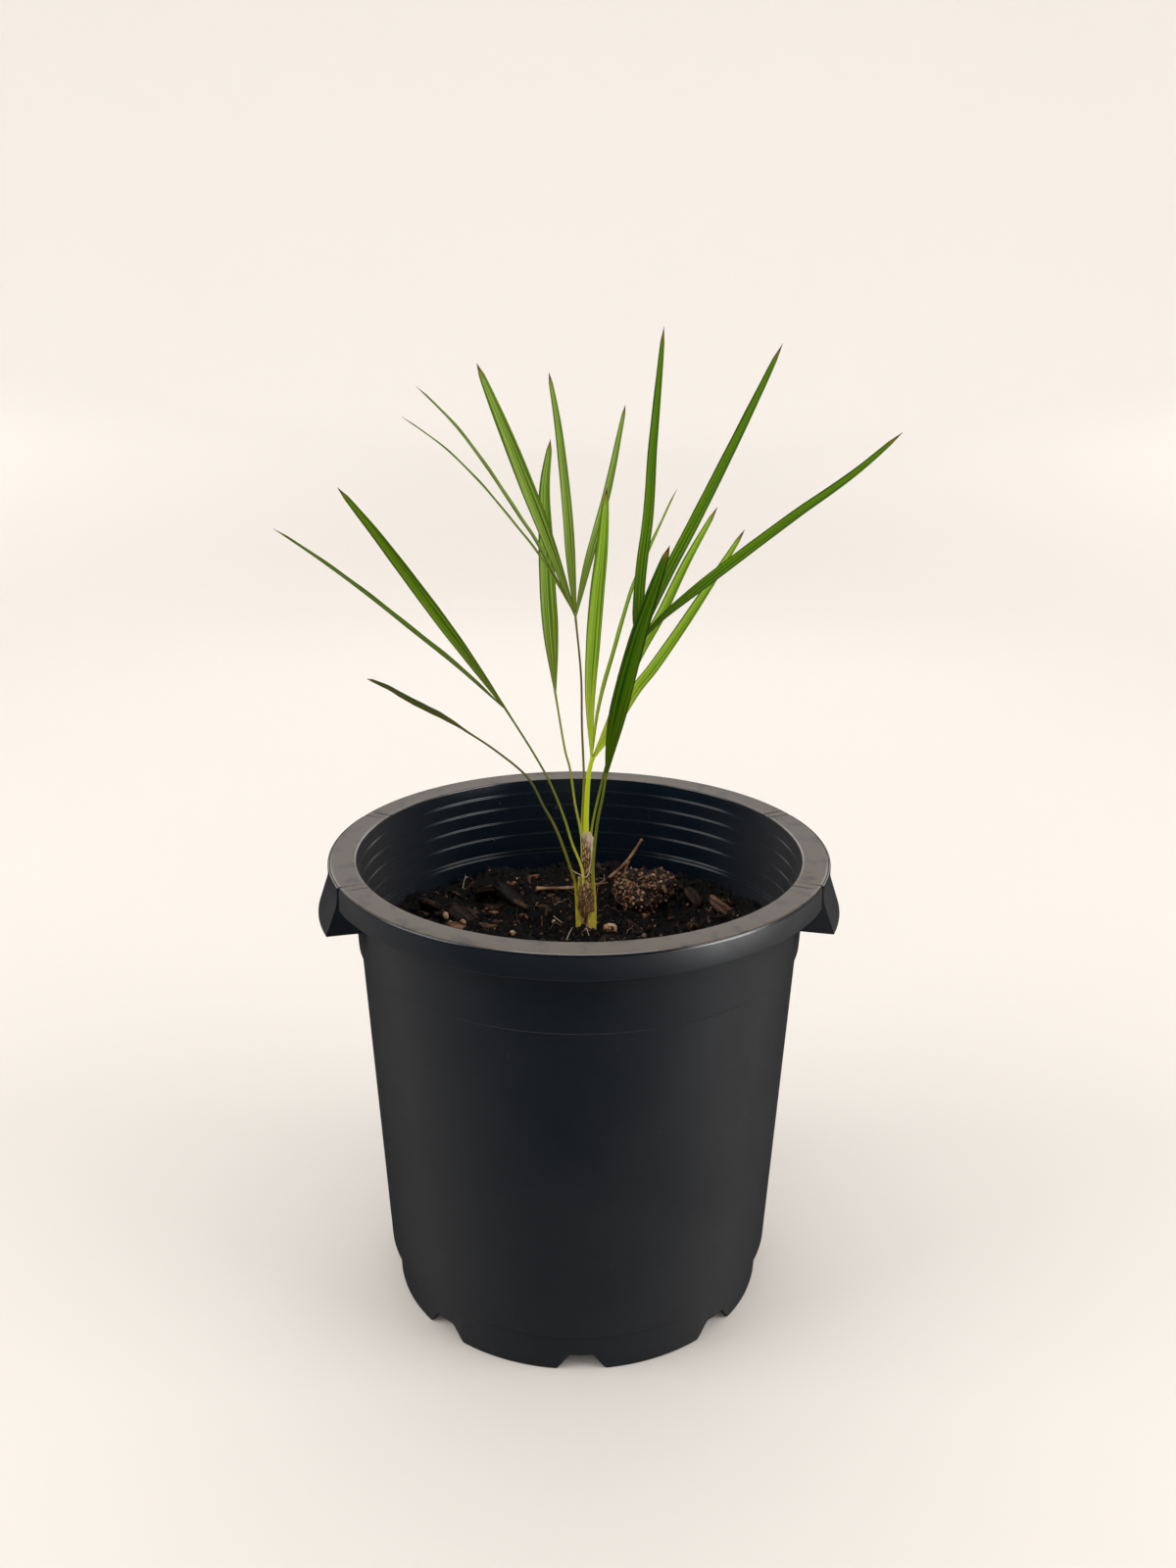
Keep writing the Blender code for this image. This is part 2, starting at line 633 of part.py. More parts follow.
def lump_height(x, y):
    """Height of the mix's surface above its mean: three crossing waves."""
    height = 0.0
    for size, across, along, phase in LUMP_WAVES:
        height += size * math.sin(across * x + phase) * math.cos(along * y - phase)
    return height


def mix_body(holder):
    """The mix as a turned plug that follows the pot's inside, its top raised into lumps."""
    edge = inner_wall(MIX_TOP) - GAP
    outline = [(edge * ring / MIX_RINGS, MIX_TOP) for ring in range(MIX_RINGS + 1)]
    outline += [(inner_wall(STEP_TOP) - GAP, STEP_TOP + EDGE_BREAK + GAP)]
    outline += [(foot_inner(FOOT_HEIGHT) - GAP, STEP_TOP + GAP)]
    outline += [(foot_inner(FLOOR_TOP) - GAP, FLOOR_TOP + GAP), (0.0, FLOOR_TOP + GAP)]
    plug = turned("mix_plug", outline, collection=CUTTERS)
    plug.parent = holder
    mesh = evaluated_mesh(plug, "potting_mix")
    bpy.context.view_layer.update()
    mesh.transform(plug.matrix_world)
    bpy.data.objects.remove(plug)
    for vert in mesh.vertices:
        if vert.co.z > MIX_TOP - GAP:
            vert.co.z += lump_height(vert.co.x, vert.co.y)
    return add_object("potting_mix", mesh)


def bark_places():
    """Bark pieces: those that show, then more from a seeded draw clear of what rests there."""
    draw = random.Random(BARK_SEED)
    places = list(SHOWN_BARK)
    kept_clear = [(CROWN_X, CROWN_Y, ROOM_ROUND_STEM)]
    kept_clear += [(*CLOD_CENTRE[:2], ROOM_ROUND_CLOD), (*NUGGET_CENTRE[:2], ROOM_ROUND_NUGGET)]
    kept_clear += [(*point[:2], ROOM_ROUND_STICKS) for point in (*STICK_ROUTE, *TWIG_ROUTE)]
    while len(places) < len(SHOWN_BARK) + SCATTERED_BARK:
        reach = BARK_REACH * math.sqrt(draw.random())
        angle = draw.uniform(0.0, math.tau)
        x = reach * math.cos(angle)
        y = reach * math.sin(angle)
        if all(math.hypot(x - cx, y - cy) > room for cx, cy, room in kept_clear):
            length = draw.uniform(*SCATTERED_LENGTHS)
            width = length * draw.uniform(0.4, 0.8)
            tilt = draw.uniform(-SCATTERED_TILT, SCATTERED_TILT)
            places.append((x, y, length, width, draw.uniform(0.0, 180.0), tilt))
    return places


def add_bark(mix):
    """Bark chips as slabs with sloped sides, sunk in the mix and fused to it."""
    chips = bpy.data.collections.new("bark_chips")
    CUTTERS.children.link(chips)
    for index, (x, y, length, width, turn, tilt) in enumerate(bark_places()):
        bm = bmesh.new()
        size = Matrix.Diagonal((length, width, BARK_THICKNESS, 1.0))
        bmesh.ops.create_cube(bm, size=1.0)
        for vert in bm.verts:
            if vert.co.z > 0.0:
                vert.co.x *= BARK_TOP_LENGTH
                vert.co.y *= BARK_TOP_WIDTH
        turned_by = Matrix.Rotation(math.radians(turn), 4, "Z")
        tilted_by = Matrix.Rotation(math.radians(tilt), 4, "Y")
        height = MIX_TOP + lump_height(x, y) + BARK_LIFT
        place = Matrix.Translation((x, y, height))
        bmesh.ops.transform(bm, matrix=place @ turned_by @ tilted_by @ size, verts=bm.verts)
        chip = bpy.data.objects.new("bark_chip", mesh_from_bmesh("bark_chip", bm))
        chips.objects.link(chip)
    combine_all(mix, chips, "UNION")
    mesh = evaluated_mesh(mix, "potting_mix_with_bark")
    mix.modifiers.clear()
    mix.data = mesh
    for chip in list(chips.objects):
        bpy.data.objects.remove(chip)
    bpy.data.collections.remove(chips)


def lump(name, centre, half_sizes, growth=0.0, detail=3, collection=PARTS):
    """A rough round lump; growth makes it larger all round, for a cutter."""
    bm = bmesh.new()
    bmesh.ops.create_icosphere(bm, subdivisions=detail, radius=1.0)
    for vert in bm.verts:
        way = vert.co.copy()
        rough = 1.0 + 0.07 * math.sin(5.0 * way.x + 2.0) * math.cos(6.0 * way.y)
        rough += 0.05 * math.sin(9.0 * way.z + 4.0 * way.x)
        for axis in range(3):
            vert.co[axis] = centre[axis] + way[axis] * (half_sizes[axis] * rough + growth)
    return add_object(name, mesh_from_bmesh(name, bm), collection)


def add_resting_pieces(mix):
    """Peat clod, pale nugget, stick and forked twig, each lying in its own dent in the mix."""
    brown = plain_material("peat", (0.060, 0.036, 0.022), 0.95)
    tan = plain_material("dry_wood", (0.330, 0.190, 0.100), 0.80)
    clod = lump("peat_clod", CLOD_CENTRE, CLOD_HALF_SIZES)
    clod.data.materials.append(brown)
    dent = lump("clod_dent", CLOD_CENTRE, CLOD_HALF_SIZES, growth=GAP * 1.3, collection=CUTTERS)
    combine(mix, dent, "DIFFERENCE")
    nugget = lump("bark_nugget", NUGGET_CENTRE, NUGGET_HALF_SIZES, detail=2)
    nugget.data.materials.append(tan)
    dent = lump("nugget_dent", NUGGET_CENTRE, NUGGET_HALF_SIZES, GAP * 1.3, 2, CUTTERS)
    combine(mix, dent, "DIFFERENCE")
    stick_points = smooth_route(STICK_ROUTE, 7)
    stick = tube("stick", stick_points, (STICK_RADIUS, STICK_RADIUS * 0.6))
    stick.data.materials.append(tan)
    groove = tube("stick_groove", lengthened(stick_points, GAP), grown(STICK_RADIUS), CUTTERS)
    combine(mix, groove, "DIFFERENCE")
    twig_points = smooth_route(TWIG_ROUTE, 8)
    twig = tube("forked_twig", twig_points, (TWIG_RADIUS, TWIG_RADIUS))
    prong_points = [Vector(point) for point in TWIG_PRONG]
    prong = tube("twig_prong", prong_points, (TWIG_RADIUS, TWIG_RADIUS * 0.7), CUTTERS)
    combine(twig, prong, "UNION")
    twig.data.materials.append(tan)
    for index, points in enumerate((twig_points, prong_points)):
        groove = tube(f"twig_groove_{index}", lengthened(points, GAP), grown(TWIG_RADIUS), CUTTERS)
        combine(mix, groove, "DIFFERENCE")


def lengthened(route, extra):
    """A route with both its ends moved outward by extra."""
    start = route[0] + (route[0] - route[1]).normalized() * extra
    end = route[-1] + (route[-1] - route[-2]).normalized() * extra
    return [start, *route[1:-1], end]


def grown(radius):
    """Radii for a cutter that leaves the gap all round a tube of this radius."""
    return (radius + GAP * 1.1, radius + GAP * 1.1)


def add_mix(holder):
    """The potting mix, with the plain hole that the stem base stands in."""
    mix = mix_body(holder)
    add_bark(mix)
    bm = bmesh.new()
    depth = CROWN_TOP - (CROWN_BOTTOM - GAP)
    place = Matrix.Translation((CROWN_X, CROWN_Y, CROWN_BOTTOM - GAP + depth / 2))
    size = Matrix.Diagonal((HOLE_HALF_WIDTH, HOLE_HALF_DEPTH, 1.0, 1.0))
    bmesh.ops.create_cone(
        bm, cap_ends=True, segments=CROWN_SIDES, radius1=1.0, radius2=1.0, depth=depth,
        matrix=place @ size)
    hole = add_object("stem_hole", mesh_from_bmesh("stem_hole", bm), CUTTERS)
    combine(mix, hole, "DIFFERENCE")
    add_resting_pieces(mix)
    mix.data.materials.clear()
    mix.data.materials.append(plain_material("potting_mix", (0.022, 0.015, 0.011), 0.97))


# The stem base, its dry sheath and the leaves

def blade_width(share, widest, widest_at):
    """Width of a segment: it swells from its root, stays broad, then narrows to its tip."""
    if share < widest_at:
        swell = math.sin(math.pi / 2 * share / widest_at) ** 0.8
        return BLADE_ROOT_WIDTH + (widest - BLADE_ROOT_WIDTH) * swell
    narrowing = math.cos(math.pi / 2 * (share - widest_at) / (1.0 - widest_at)) ** 0.7
    return BLADE_TIP_WIDTH + (widest - BLADE_TIP_WIDTH) * narrowing


def blade(name, route, widest, widest_at, upper_side, collection):
    """One segment: a strip folded along its midrib, then given its thickness."""
    stations = smooth_route(route, BLADE_STATIONS)
    rows = len(stations)
    bm = bmesh.new()
    made = bmesh.ops.create_grid(bm, x_segments=2, y_segments=rows - 1, size=1.0)
    facing = Vector(upper_side).normalized()
    for vert in made["verts"]:
        row = round((vert.co.y + 1.0) / 2.0 * (rows - 1))
        side = vert.co.x
        ahead = stations[min(row + 1, rows - 1)] - stations[max(row - 1, 0)]
        across = ahead.cross(facing).normalized()
        lift = across.cross(ahead).normalized()
        width = blade_width(row / (rows - 1), widest, widest_at)
        fold = BLADE_FOLD * width * abs(side)
        vert.co = stations[row] + across * (side * width / 2) + lift * fold
    bmesh.ops.triangulate(bm, faces=bm.faces)
    strip = add_object(name, mesh_from_bmesh(name, bm), collection)
    solid = strip.modifiers.new("thickness", "SOLIDIFY")
    solid.thickness = BLADE_THICKNESS
    solid.offset = 0.0
    return strip


def add_leaf(name, leaf, green, stem_base):
    """A leaf: its stalk with the blade segments fused to it, and its socket in the stem."""
    stalk_route = smooth_route(leaf["stalk"], STALK_STATIONS)
    foot_radius, tip_radius = leaf["radii"]
    segments = bpy.data.collections.new(name + "_segments")
    CUTTERS.children.link(segments)
    top = stalk_route[-1]
    root = top - (top - stalk_route[-2]).normalized() * BLADE_ROOT
    for segment in leaf["segments"]:
        route = (root, top, *segment["route"])
        upper_side = segment.get("upper_side", leaf["upper_side"])
        blade(name + "_segment", route, segment["width"], segment["widest_at"], upper_side, segments)
    stalk = tube(name, stalk_route, (foot_radius, tip_radius))
    combine_all(stalk, segments, "UNION")
    mesh = evaluated_mesh(stalk, name)
    stalk.modifiers.clear()
    stalk.data = mesh
    for strip in list(segments.objects):
        bpy.data.objects.remove(strip)
    bpy.data.collections.remove(segments)
    stalk.data.materials.clear()
    stalk.data.materials.append(green)

    low = [point for point in stalk_route if point.z < SOCKET_TOP]
    socket = tube(name + "_socket", lengthened(low, GAP), grown(foot_radius + GAP / 3), CUTTERS)
    combine(stem_base, socket, "DIFFERENCE")


def add_stem_base():
    """The short stem of packed leaf bases, oval in plan, narrowing to its foot."""
    blank = turned("stem_blank", CROWN_SECTION, collection=CUTTERS, steps=CROWN_SIDES)
    mesh = evaluated_mesh(blank, "stem_base")
    bpy.data.objects.remove(blank)
    place = Matrix.Translation((CROWN_X, CROWN_Y, 0.0))
    mesh.transform(place @ Matrix.Diagonal((1.0, CROWN_DEPTH_RATIO, 1.0, 1.0)))
    stem = add_object("stem_base", mesh)
    stem.data.materials.append(plain_material("stem_fibre", (0.300, 0.200, 0.090), 0.85))
    return stem


def add_dry_sheath():
    """A curved strip round the front of the stalks, taller in its middle."""
    bm = bmesh.new()
    made = bmesh.ops.create_grid(bm, x_segments=6, y_segments=5, size=1.0)
    for vert in made["verts"]:
        side = vert.co.x
        angle = side * SHEATH_SPREAD
        rise = (vert.co.y + 1.0) / 2.0
        top = SHEATH_TOP - SHEATH_EDGE_DROP * side * side - SHEATH_TEAR * math.sin(9.0 * side)
        low = CROWN_TOP + GAP
        vert.co.x = SHEATH_CENTRE[0] + SHEATH_HALF_WIDTH * math.sin(angle)
        vert.co.y = SHEATH_CENTRE[1] - SHEATH_HALF_DEPTH * math.cos(angle)
        vert.co.z = low + (top - low) * rise
    bmesh.ops.triangulate(bm, faces=bm.faces)
    sheath = add_object("dry_sheath", mesh_from_bmesh("dry_sheath", bm))
    solid = sheath.modifiers.new("thickness", "SOLIDIFY")
    solid.thickness = SHEATH_THICKNESS
    solid.offset = 0.0
    sheath.data.materials.append(plain_material("papery_sheath", (0.620, 0.490, 0.300), 0.85))


pot_holder = bpy.data.objects.new("pot_turn", None)
PARTS.objects.link(pot_holder)
pot_holder.rotation_euler.z = POT_TURN
bpy.context.view_layer.update()

add_pot(pot_holder)
add_mix(pot_holder)
crown = add_stem_base()
add_dry_sheath()
leaf_green = plain_material("leaf_green", (0.055, 0.145, 0.022), 0.42)
for leaf_name, leaf_shape in LEAVES.items():
    add_leaf(leaf_name, leaf_shape, leaf_green, crown)
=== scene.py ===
"""The looks of a young fan palm in a black nursery pot.

Everything is in metres with +Z up. The pot stands on the floor at the origin, and the viewer is
on the -Y side. Each section makes one real piece, from the pot outwards to the leaf tips.
"""

import math
import random

import bpy
import numpy as np
from mathutils import Matrix, Vector


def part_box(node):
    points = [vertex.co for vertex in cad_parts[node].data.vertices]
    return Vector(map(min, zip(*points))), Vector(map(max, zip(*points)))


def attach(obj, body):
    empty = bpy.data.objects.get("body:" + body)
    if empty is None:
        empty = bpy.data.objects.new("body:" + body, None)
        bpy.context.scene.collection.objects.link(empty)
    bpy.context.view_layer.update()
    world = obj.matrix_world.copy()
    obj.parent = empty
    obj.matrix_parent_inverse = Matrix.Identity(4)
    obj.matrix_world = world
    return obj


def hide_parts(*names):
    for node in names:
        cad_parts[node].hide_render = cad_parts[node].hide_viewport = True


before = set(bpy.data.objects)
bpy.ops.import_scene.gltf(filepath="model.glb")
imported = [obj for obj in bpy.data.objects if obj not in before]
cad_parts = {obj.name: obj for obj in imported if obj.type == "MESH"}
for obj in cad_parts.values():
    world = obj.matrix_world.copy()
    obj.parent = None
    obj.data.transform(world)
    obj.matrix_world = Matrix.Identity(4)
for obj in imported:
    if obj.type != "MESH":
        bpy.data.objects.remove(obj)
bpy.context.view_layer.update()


# Camera
# A normal lens a little above the rim, looking down on the pot as the photograph does.

CAMERA_PLACE = (0.0033, -0.5537, 0.4066)
CAMERA_DOWN = math.radians(18.75)
CAMERA_ROLL = math.radians(0.348)
LONG_SIDE = 36.0
FOCAL_LENGTH = 33.705

camera_data = bpy.data.cameras.new("camera")
camera_data.sensor_width = LONG_SIDE
camera_data.lens = FOCAL_LENGTH
camera_data.clip_start = 0.01
camera = bpy.data.objects.new("camera", camera_data)
tilt = Matrix.Rotation(math.pi / 2 - CAMERA_DOWN, 4, "X")
roll = Matrix.Rotation(CAMERA_ROLL, 4, "Z")
camera.matrix_world = Matrix.Translation(CAMERA_PLACE) @ tilt @ roll
bpy.context.scene.collection.objects.link(camera)
bpy.context.scene.camera = camera
bpy.context.scene.view_settings.view_transform = "Standard"


# Studio floor
# A sheet of pale cream paper that lies flat under the pot and sweeps up all round it, so that no
# edge or corner shows from any side.

FLOOR_FLAT = 1.30
FLOOR_REACH = 3.00
FLOOR_RISE = 2.60
PAPER = (0.835, 0.806, 0.775)
WALL_GLOW = 0.20
GLOW_TOP = 0.22


def shell(points, looped=True, ends=(True, True)):
    """Places, quads and triangles of a skin over a grid of points. Neighbours in the grid make
    four-sided faces, the last column meets the first where it is looped, and each end that is
    closed gets a fan of triangles from its middle. The faces are turned over if the volume
    inside comes out negative. Numbers after x, y and z are carried along with each point.
    """
    rows, columns = points.shape[:2]
    index = np.arange(rows * columns).reshape(rows, columns)
    if looped:
        index = np.concatenate([index, index[:, :1]], axis=1)
    quads = np.stack([index[:-1, :-1], index[:-1, 1:], index[1:, 1:], index[1:, :-1]], axis=-1)
    quads = quads.reshape(-1, 4)
    places = points.reshape(rows * columns, -1)
    fans = [np.zeros((0, 3), int)]
    for closed, row, order in zip(ends, (0, rows - 1), (-1, 1)):
        if closed:
            middle = np.full(index.shape[1] - 1, len(places))
            places = np.vstack([places, points[row].mean(axis=0)])
            edge = np.stack([index[row, :-1], index[row, 1:]][::order], axis=-1)
            fans.append(np.column_stack([edge, middle]))
    triangles = np.vstack(fans)
    corner = places[np.vstack([quads[:, [0, 1, 2]], quads[:, [0, 2, 3]], triangles]), :3]
    if np.einsum("ij,ij->i", corner[:, 0], np.cross(corner[:, 1], corner[:, 2])).sum() < 0.0:
        quads = quads[:, ::-1]
        triangles = triangles[:, ::-1]
    return places, quads, triangles


def build_mesh(name, shells, channels=()):
    """One smooth-shaded mesh of several shells. The numbers that its points carry after x, y
    and z become attributes, named by the channels.
    """
    starts = np.cumsum([0] + [len(places) for places, _, _ in shells])
    places = np.vstack([part[0] for part in shells])
    quads = np.vstack([part[1] + start for part, start in zip(shells, starts)])
    triangles = np.vstack([part[2] + start for part, start in zip(shells, starts)])
    mesh = bpy.data.meshes.new(name)
    mesh.vertices.add(len(places))
    mesh.vertices.foreach_set("co", places[:, :3].astype(np.float32).ravel())
    corners = np.concatenate([quads.ravel(), triangles.ravel()]).astype(np.int32)
    sizes = np.concatenate([np.full(len(quads), 4), np.full(len(triangles), 3)])
    mesh.loops.add(len(corners))
    mesh.loops.foreach_set("vertex_index", corners)
    mesh.polygons.add(len(sizes))
    mesh.polygons.foreach_set("loop_start", (np.cumsum(sizes) - sizes).astype(np.int32))
    mesh.update(calc_edges=True)
    for index, channel in enumerate(channels):
        layer = mesh.attributes.new(channel, "FLOAT", "POINT")
        layer.data.foreach_set("value", places[:, 3 + index].astype(np.float32))
    mesh.shade_smooth()
    return mesh


def place_piece(name, mesh, material):
    """Links a mesh into the scene as an object of the same name with one material."""
    piece = bpy.data.objects.new(name, mesh)
    bpy.context.scene.collection.objects.link(piece)
    mesh.materials.append(material)
    return piece


def dress(name, shells, material, channels=(), instead_of=None):
    """Adds a piece that rides on the root, and hides the plain solid that it stands for."""
    piece = place_piece(name, build_mesh(name, shells, channels), material)
    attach(piece, "root")
    if instead_of:
        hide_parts(instead_of)
    return piece


def node(tree, kind, sockets, **settings):
    """Adds a shader node. A socket given another node's output is linked, any other is set."""
    made = tree.nodes.new(kind)
    for key, value in settings.items():
        setattr(made, key, value)
    for key, value in sockets.items():
        if isinstance(value, bpy.types.NodeSocket):
            tree.links.new(value, made.inputs[key])
        else:
            made.inputs[key].default_value = value
    return made


def finish(name, roughness, specular=0.5):
    """A new material with its gloss set; gives the material, its node tree and its shader."""
    material = bpy.data.materials.new(name)
    material.use_nodes = True
    shader = material.node_tree.nodes["Principled BSDF"]
    shader.inputs["Roughness"].default_value = roughness
    shader.inputs["Specular IOR Level"].default_value = specular
    return material, material.node_tree, shader


def floor_paper():
    """Cream paper with a faint broad mottle. It glows a little where it sweeps up, as paper
    does that is lit from behind, so that the wall is as bright as the floor.
    """
    material, tree, shader = finish("cream_paper", 0.9, 0.1)
    here = node(tree, "ShaderNodeTexCoord", {}).outputs["Object"]
    mottle = node(tree, "ShaderNodeTexNoise", {"Vector": here, "Scale": 2.5, "Detail": 2.0})
    colour = blend(tree, mottle.outputs["Fac"], PAPER, tuple(0.985 * part for part in PAPER))
    tree.links.new(colour, shader.inputs["Base Color"])
    shader.inputs["Emission Color"].default_value = (*PAPER, 1.0)
    height = node(tree, "ShaderNodeSeparateXYZ", {"Vector": here}).outputs["Z"]
    glow = node(tree, "ShaderNodeMapRange", {
        "Value": height, "From Max": GLOW_TOP, "To Max": WALL_GLOW}, interpolation_type="SMOOTHSTEP")
    tree.links.new(glow.outputs["Result"], shader.inputs["Emission Strength"])
    return material


def blend(tree, share, first, second, kind="MIX"):
    """Mixes two colours by a share; each may be a socket or three numbers."""
    colours = [part if isinstance(part, bpy.types.NodeSocket) else (*part, 1.0)
               for part in (first, second)]
    sockets = {0: share, 6: colours[0], 7: colours[1]}
    return node(tree, "ShaderNodeMix", sockets, data_type="RGBA", blend_type=kind).outputs[2]


floor_out = np.linspace(0.02, FLOOR_REACH, 90)[:, None]
floor_turn = np.linspace(0.0, math.tau, 96, endpoint=False)[None, :]
floor_swept = np.clip((floor_out - FLOOR_FLAT) / (FLOOR_REACH - FLOOR_FLAT), 0.0, 1.0)
floor_height = FLOOR_RISE * floor_swept ** 2.2
floor_points = np.stack([
    floor_out * np.cos(floor_turn),
    floor_out * np.sin(floor_turn),
    floor_height + 0.0 * floor_turn,
], axis=-1)
floor_mesh = build_mesh("studio_floor", [shell(floor_points, ends=(True, False))])
studio_floor = place_piece("studio_floor", floor_mesh, floor_paper())
studio_floor.visible_glossy = False


# Studio light
# Two large soft boxes, one at each side and a little in front, a long one above the back that
# lights the top of the rim, and a pale room. Two more, low at right and overhead, only shine.

ROOM_LIGHT = (1.0, 0.972, 0.935)
ROOM_STRENGTH = 0.74
SOFT_BOXES = (
    ("soft_box_right", (1.22, -0.42, 0.78), (0.9, 0.9), 8.2, True),
    ("soft_box_left", (-1.22, -0.40, 0.78), (0.9, 0.9), 8.2, True),
    ("soft_box_back", (0.0, 1.40, 0.86), (2.2, 0.40), 6.0, True),
    ("sheen_box_right", (1.05, -0.55, 0.10), (0.6, 0.6), 15.0, False),
    ("sheen_box_top", (0.0, 0.10, 1.50), (0.8, 0.35), 7.0, False),
)

world = bpy.data.worlds.new("pale_room")
bpy.context.scene.world = world
world.use_nodes = True
world.node_tree.nodes["Background"].inputs["Color"].default_value = (*ROOM_LIGHT, 1.0)
world.node_tree.nodes["Background"].inputs["Strength"].default_value = ROOM_STRENGTH
world.cycles_visibility.glossy = False

for box_name, box_place, box_size, box_power, box_lights in SOFT_BOXES:
    box_light = bpy.data.lights.new(box_name, "AREA")
    box_light.shape = "RECTANGLE"
    box_light.size, box_light.size_y = box_size
    box_light.energy = box_power
    box_light.color = (1.0, 0.980, 0.958)
    soft_box = bpy.data.objects.new(box_name, box_light)
    aim = Vector((0.0, 0.0, 0.14)) - Vector(box_place)
    soft_box.rotation_euler = aim.to_track_quat("-Z", "Y").to_euler()
    soft_box.location = box_place
    soft_box.visible_camera = False
    soft_box.visible_diffuse = box_lights
    bpy.context.scene.collection.objects.link(soft_box)


# Nursery pot
# One thin moulding in black plastic: a floor with drain holes, a stepped foot with notches, a
# tapered wall with ledges pressed inside, a collar band and a turned-down rim cut by four seams.

POT_TURN = math.radians(1.5)
RIM_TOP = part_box("pot")[1].z
RIM_RADIUS = 0.1000
RIM_INNER_RADIUS = 0.0891
RIM_PLATE = 0.0018
SKIRT_BOTTOM = 0.1814
SKIRT_WALL = 0.0016
SKIRT_SPLAY = 0.0002
SKIRT_WAVE = 0.00018
WALL_RADIUS_AT_FLOOR = 0.08017
WALL_TAPER = 0.05481
WALL_THICKNESS = 0.0016
COLLAR_BOTTOM = 0.1553
COLLAR_PROUD = 0.0010
EDGE_BREAK = 0.0005
FOOT_HEIGHT = 0.0177
FOOT_TOP_RADIUS = 0.0786
FOOT_BOTTOM_RADIUS = 0.0778
FOOT_WALL = 0.0018
FLOOR_UNDERSIDE = 0.0080
FLOOR_TOP = 0.0098
NOTCH_COUNT = 8
NOTCH_HEIGHT = 0.0068
NOTCH_HALF_BOTTOM = 0.0100
NOTCH_HALF_TOP = 0.0045
DRAIN_RADIUS = 0.0045
DRAIN_RING_RADIUS = 0.0600
LEDGE_HEIGHTS = (0.1559, 0.1574, 0.1652, 0.1720, 0.1786, 0.1849)
LEDGE_STEP = 0.0005
SEAM_Y = 0.03975
SEAM_HALF_WIDTH = 0.0005
SEAM_DEPTH = 0.0009
ARC_STEPS = 4
RIM_DUST_AND_SHEEN = (0.134, 0.112, 0.095)


def outer_wall(height):
    """Outer radius of the tapered wall at a height."""
    return WALL_RADIUS_AT_FLOOR + WALL_TAPER * height


def inner_wall(height):
    """Inner radius of the tapered wall at a height."""
    return outer_wall(height) - WALL_THICKNESS


def foot_inner(height):
    """Inner radius of the foot ring at a height."""
    slope = (FOOT_TOP_RADIUS - FOOT_BOTTOM_RADIUS) / FOOT_HEIGHT
    return FOOT_BOTTOM_RADIUS - FOOT_WALL + slope * height


def rounded(corners):
    """An outline with its corners rounded. Each corner is (across, up, rounding). A rounding
    is drawn as a quadratic curve from one side to the other, pulled towards the corner.
    """
    places = np.array([corner[:2] for corner in corners])
    outline = [places[0]]
    for index in range(1, len(corners) - 1):
        corner, rounding = places[index], corners[index][2]
        before, after = places[index - 1] - corner, places[index + 1] - corner
        reach_before = min(rounding, np.linalg.norm(before) * 0.45)
        reach_after = min(rounding, np.linalg.norm(after) * 0.45)
        start = corner + before / np.linalg.norm(before) * reach_before
        end = corner + after / np.linalg.norm(after) * reach_after
        for t in np.linspace(0.0, 1.0, ARC_STEPS):
            outline.append((1 - t) ** 2 * start + 2 * t * (1 - t) * corner + t * t * end)
    outline.append(places[-1])
    return np.array(outline)


def smooth_step(value):
    """Rises from 0 to 1 with level ends: three times the square less twice the cube."""
    value = np.clip(value, 0.0, 1.0)
    return value * value * (3.0 - 2.0 * value)


def notch_lift(angles):
    """How far the foot's bottom edge is raised at an angle: eight trapezoids, corners eased."""
    pitch = math.tau / NOTCH_COUNT
    arc = FOOT_BOTTOM_RADIUS * np.abs((angles + pitch / 2) % pitch - pitch / 2)
    rise = np.clip((NOTCH_HALF_BOTTOM - arc) / (NOTCH_HALF_BOTTOM - NOTCH_HALF_TOP), 0.0, 1.0)
    return NOTCH_HEIGHT * (0.6 * rise + 0.4 * smooth_step(rise))


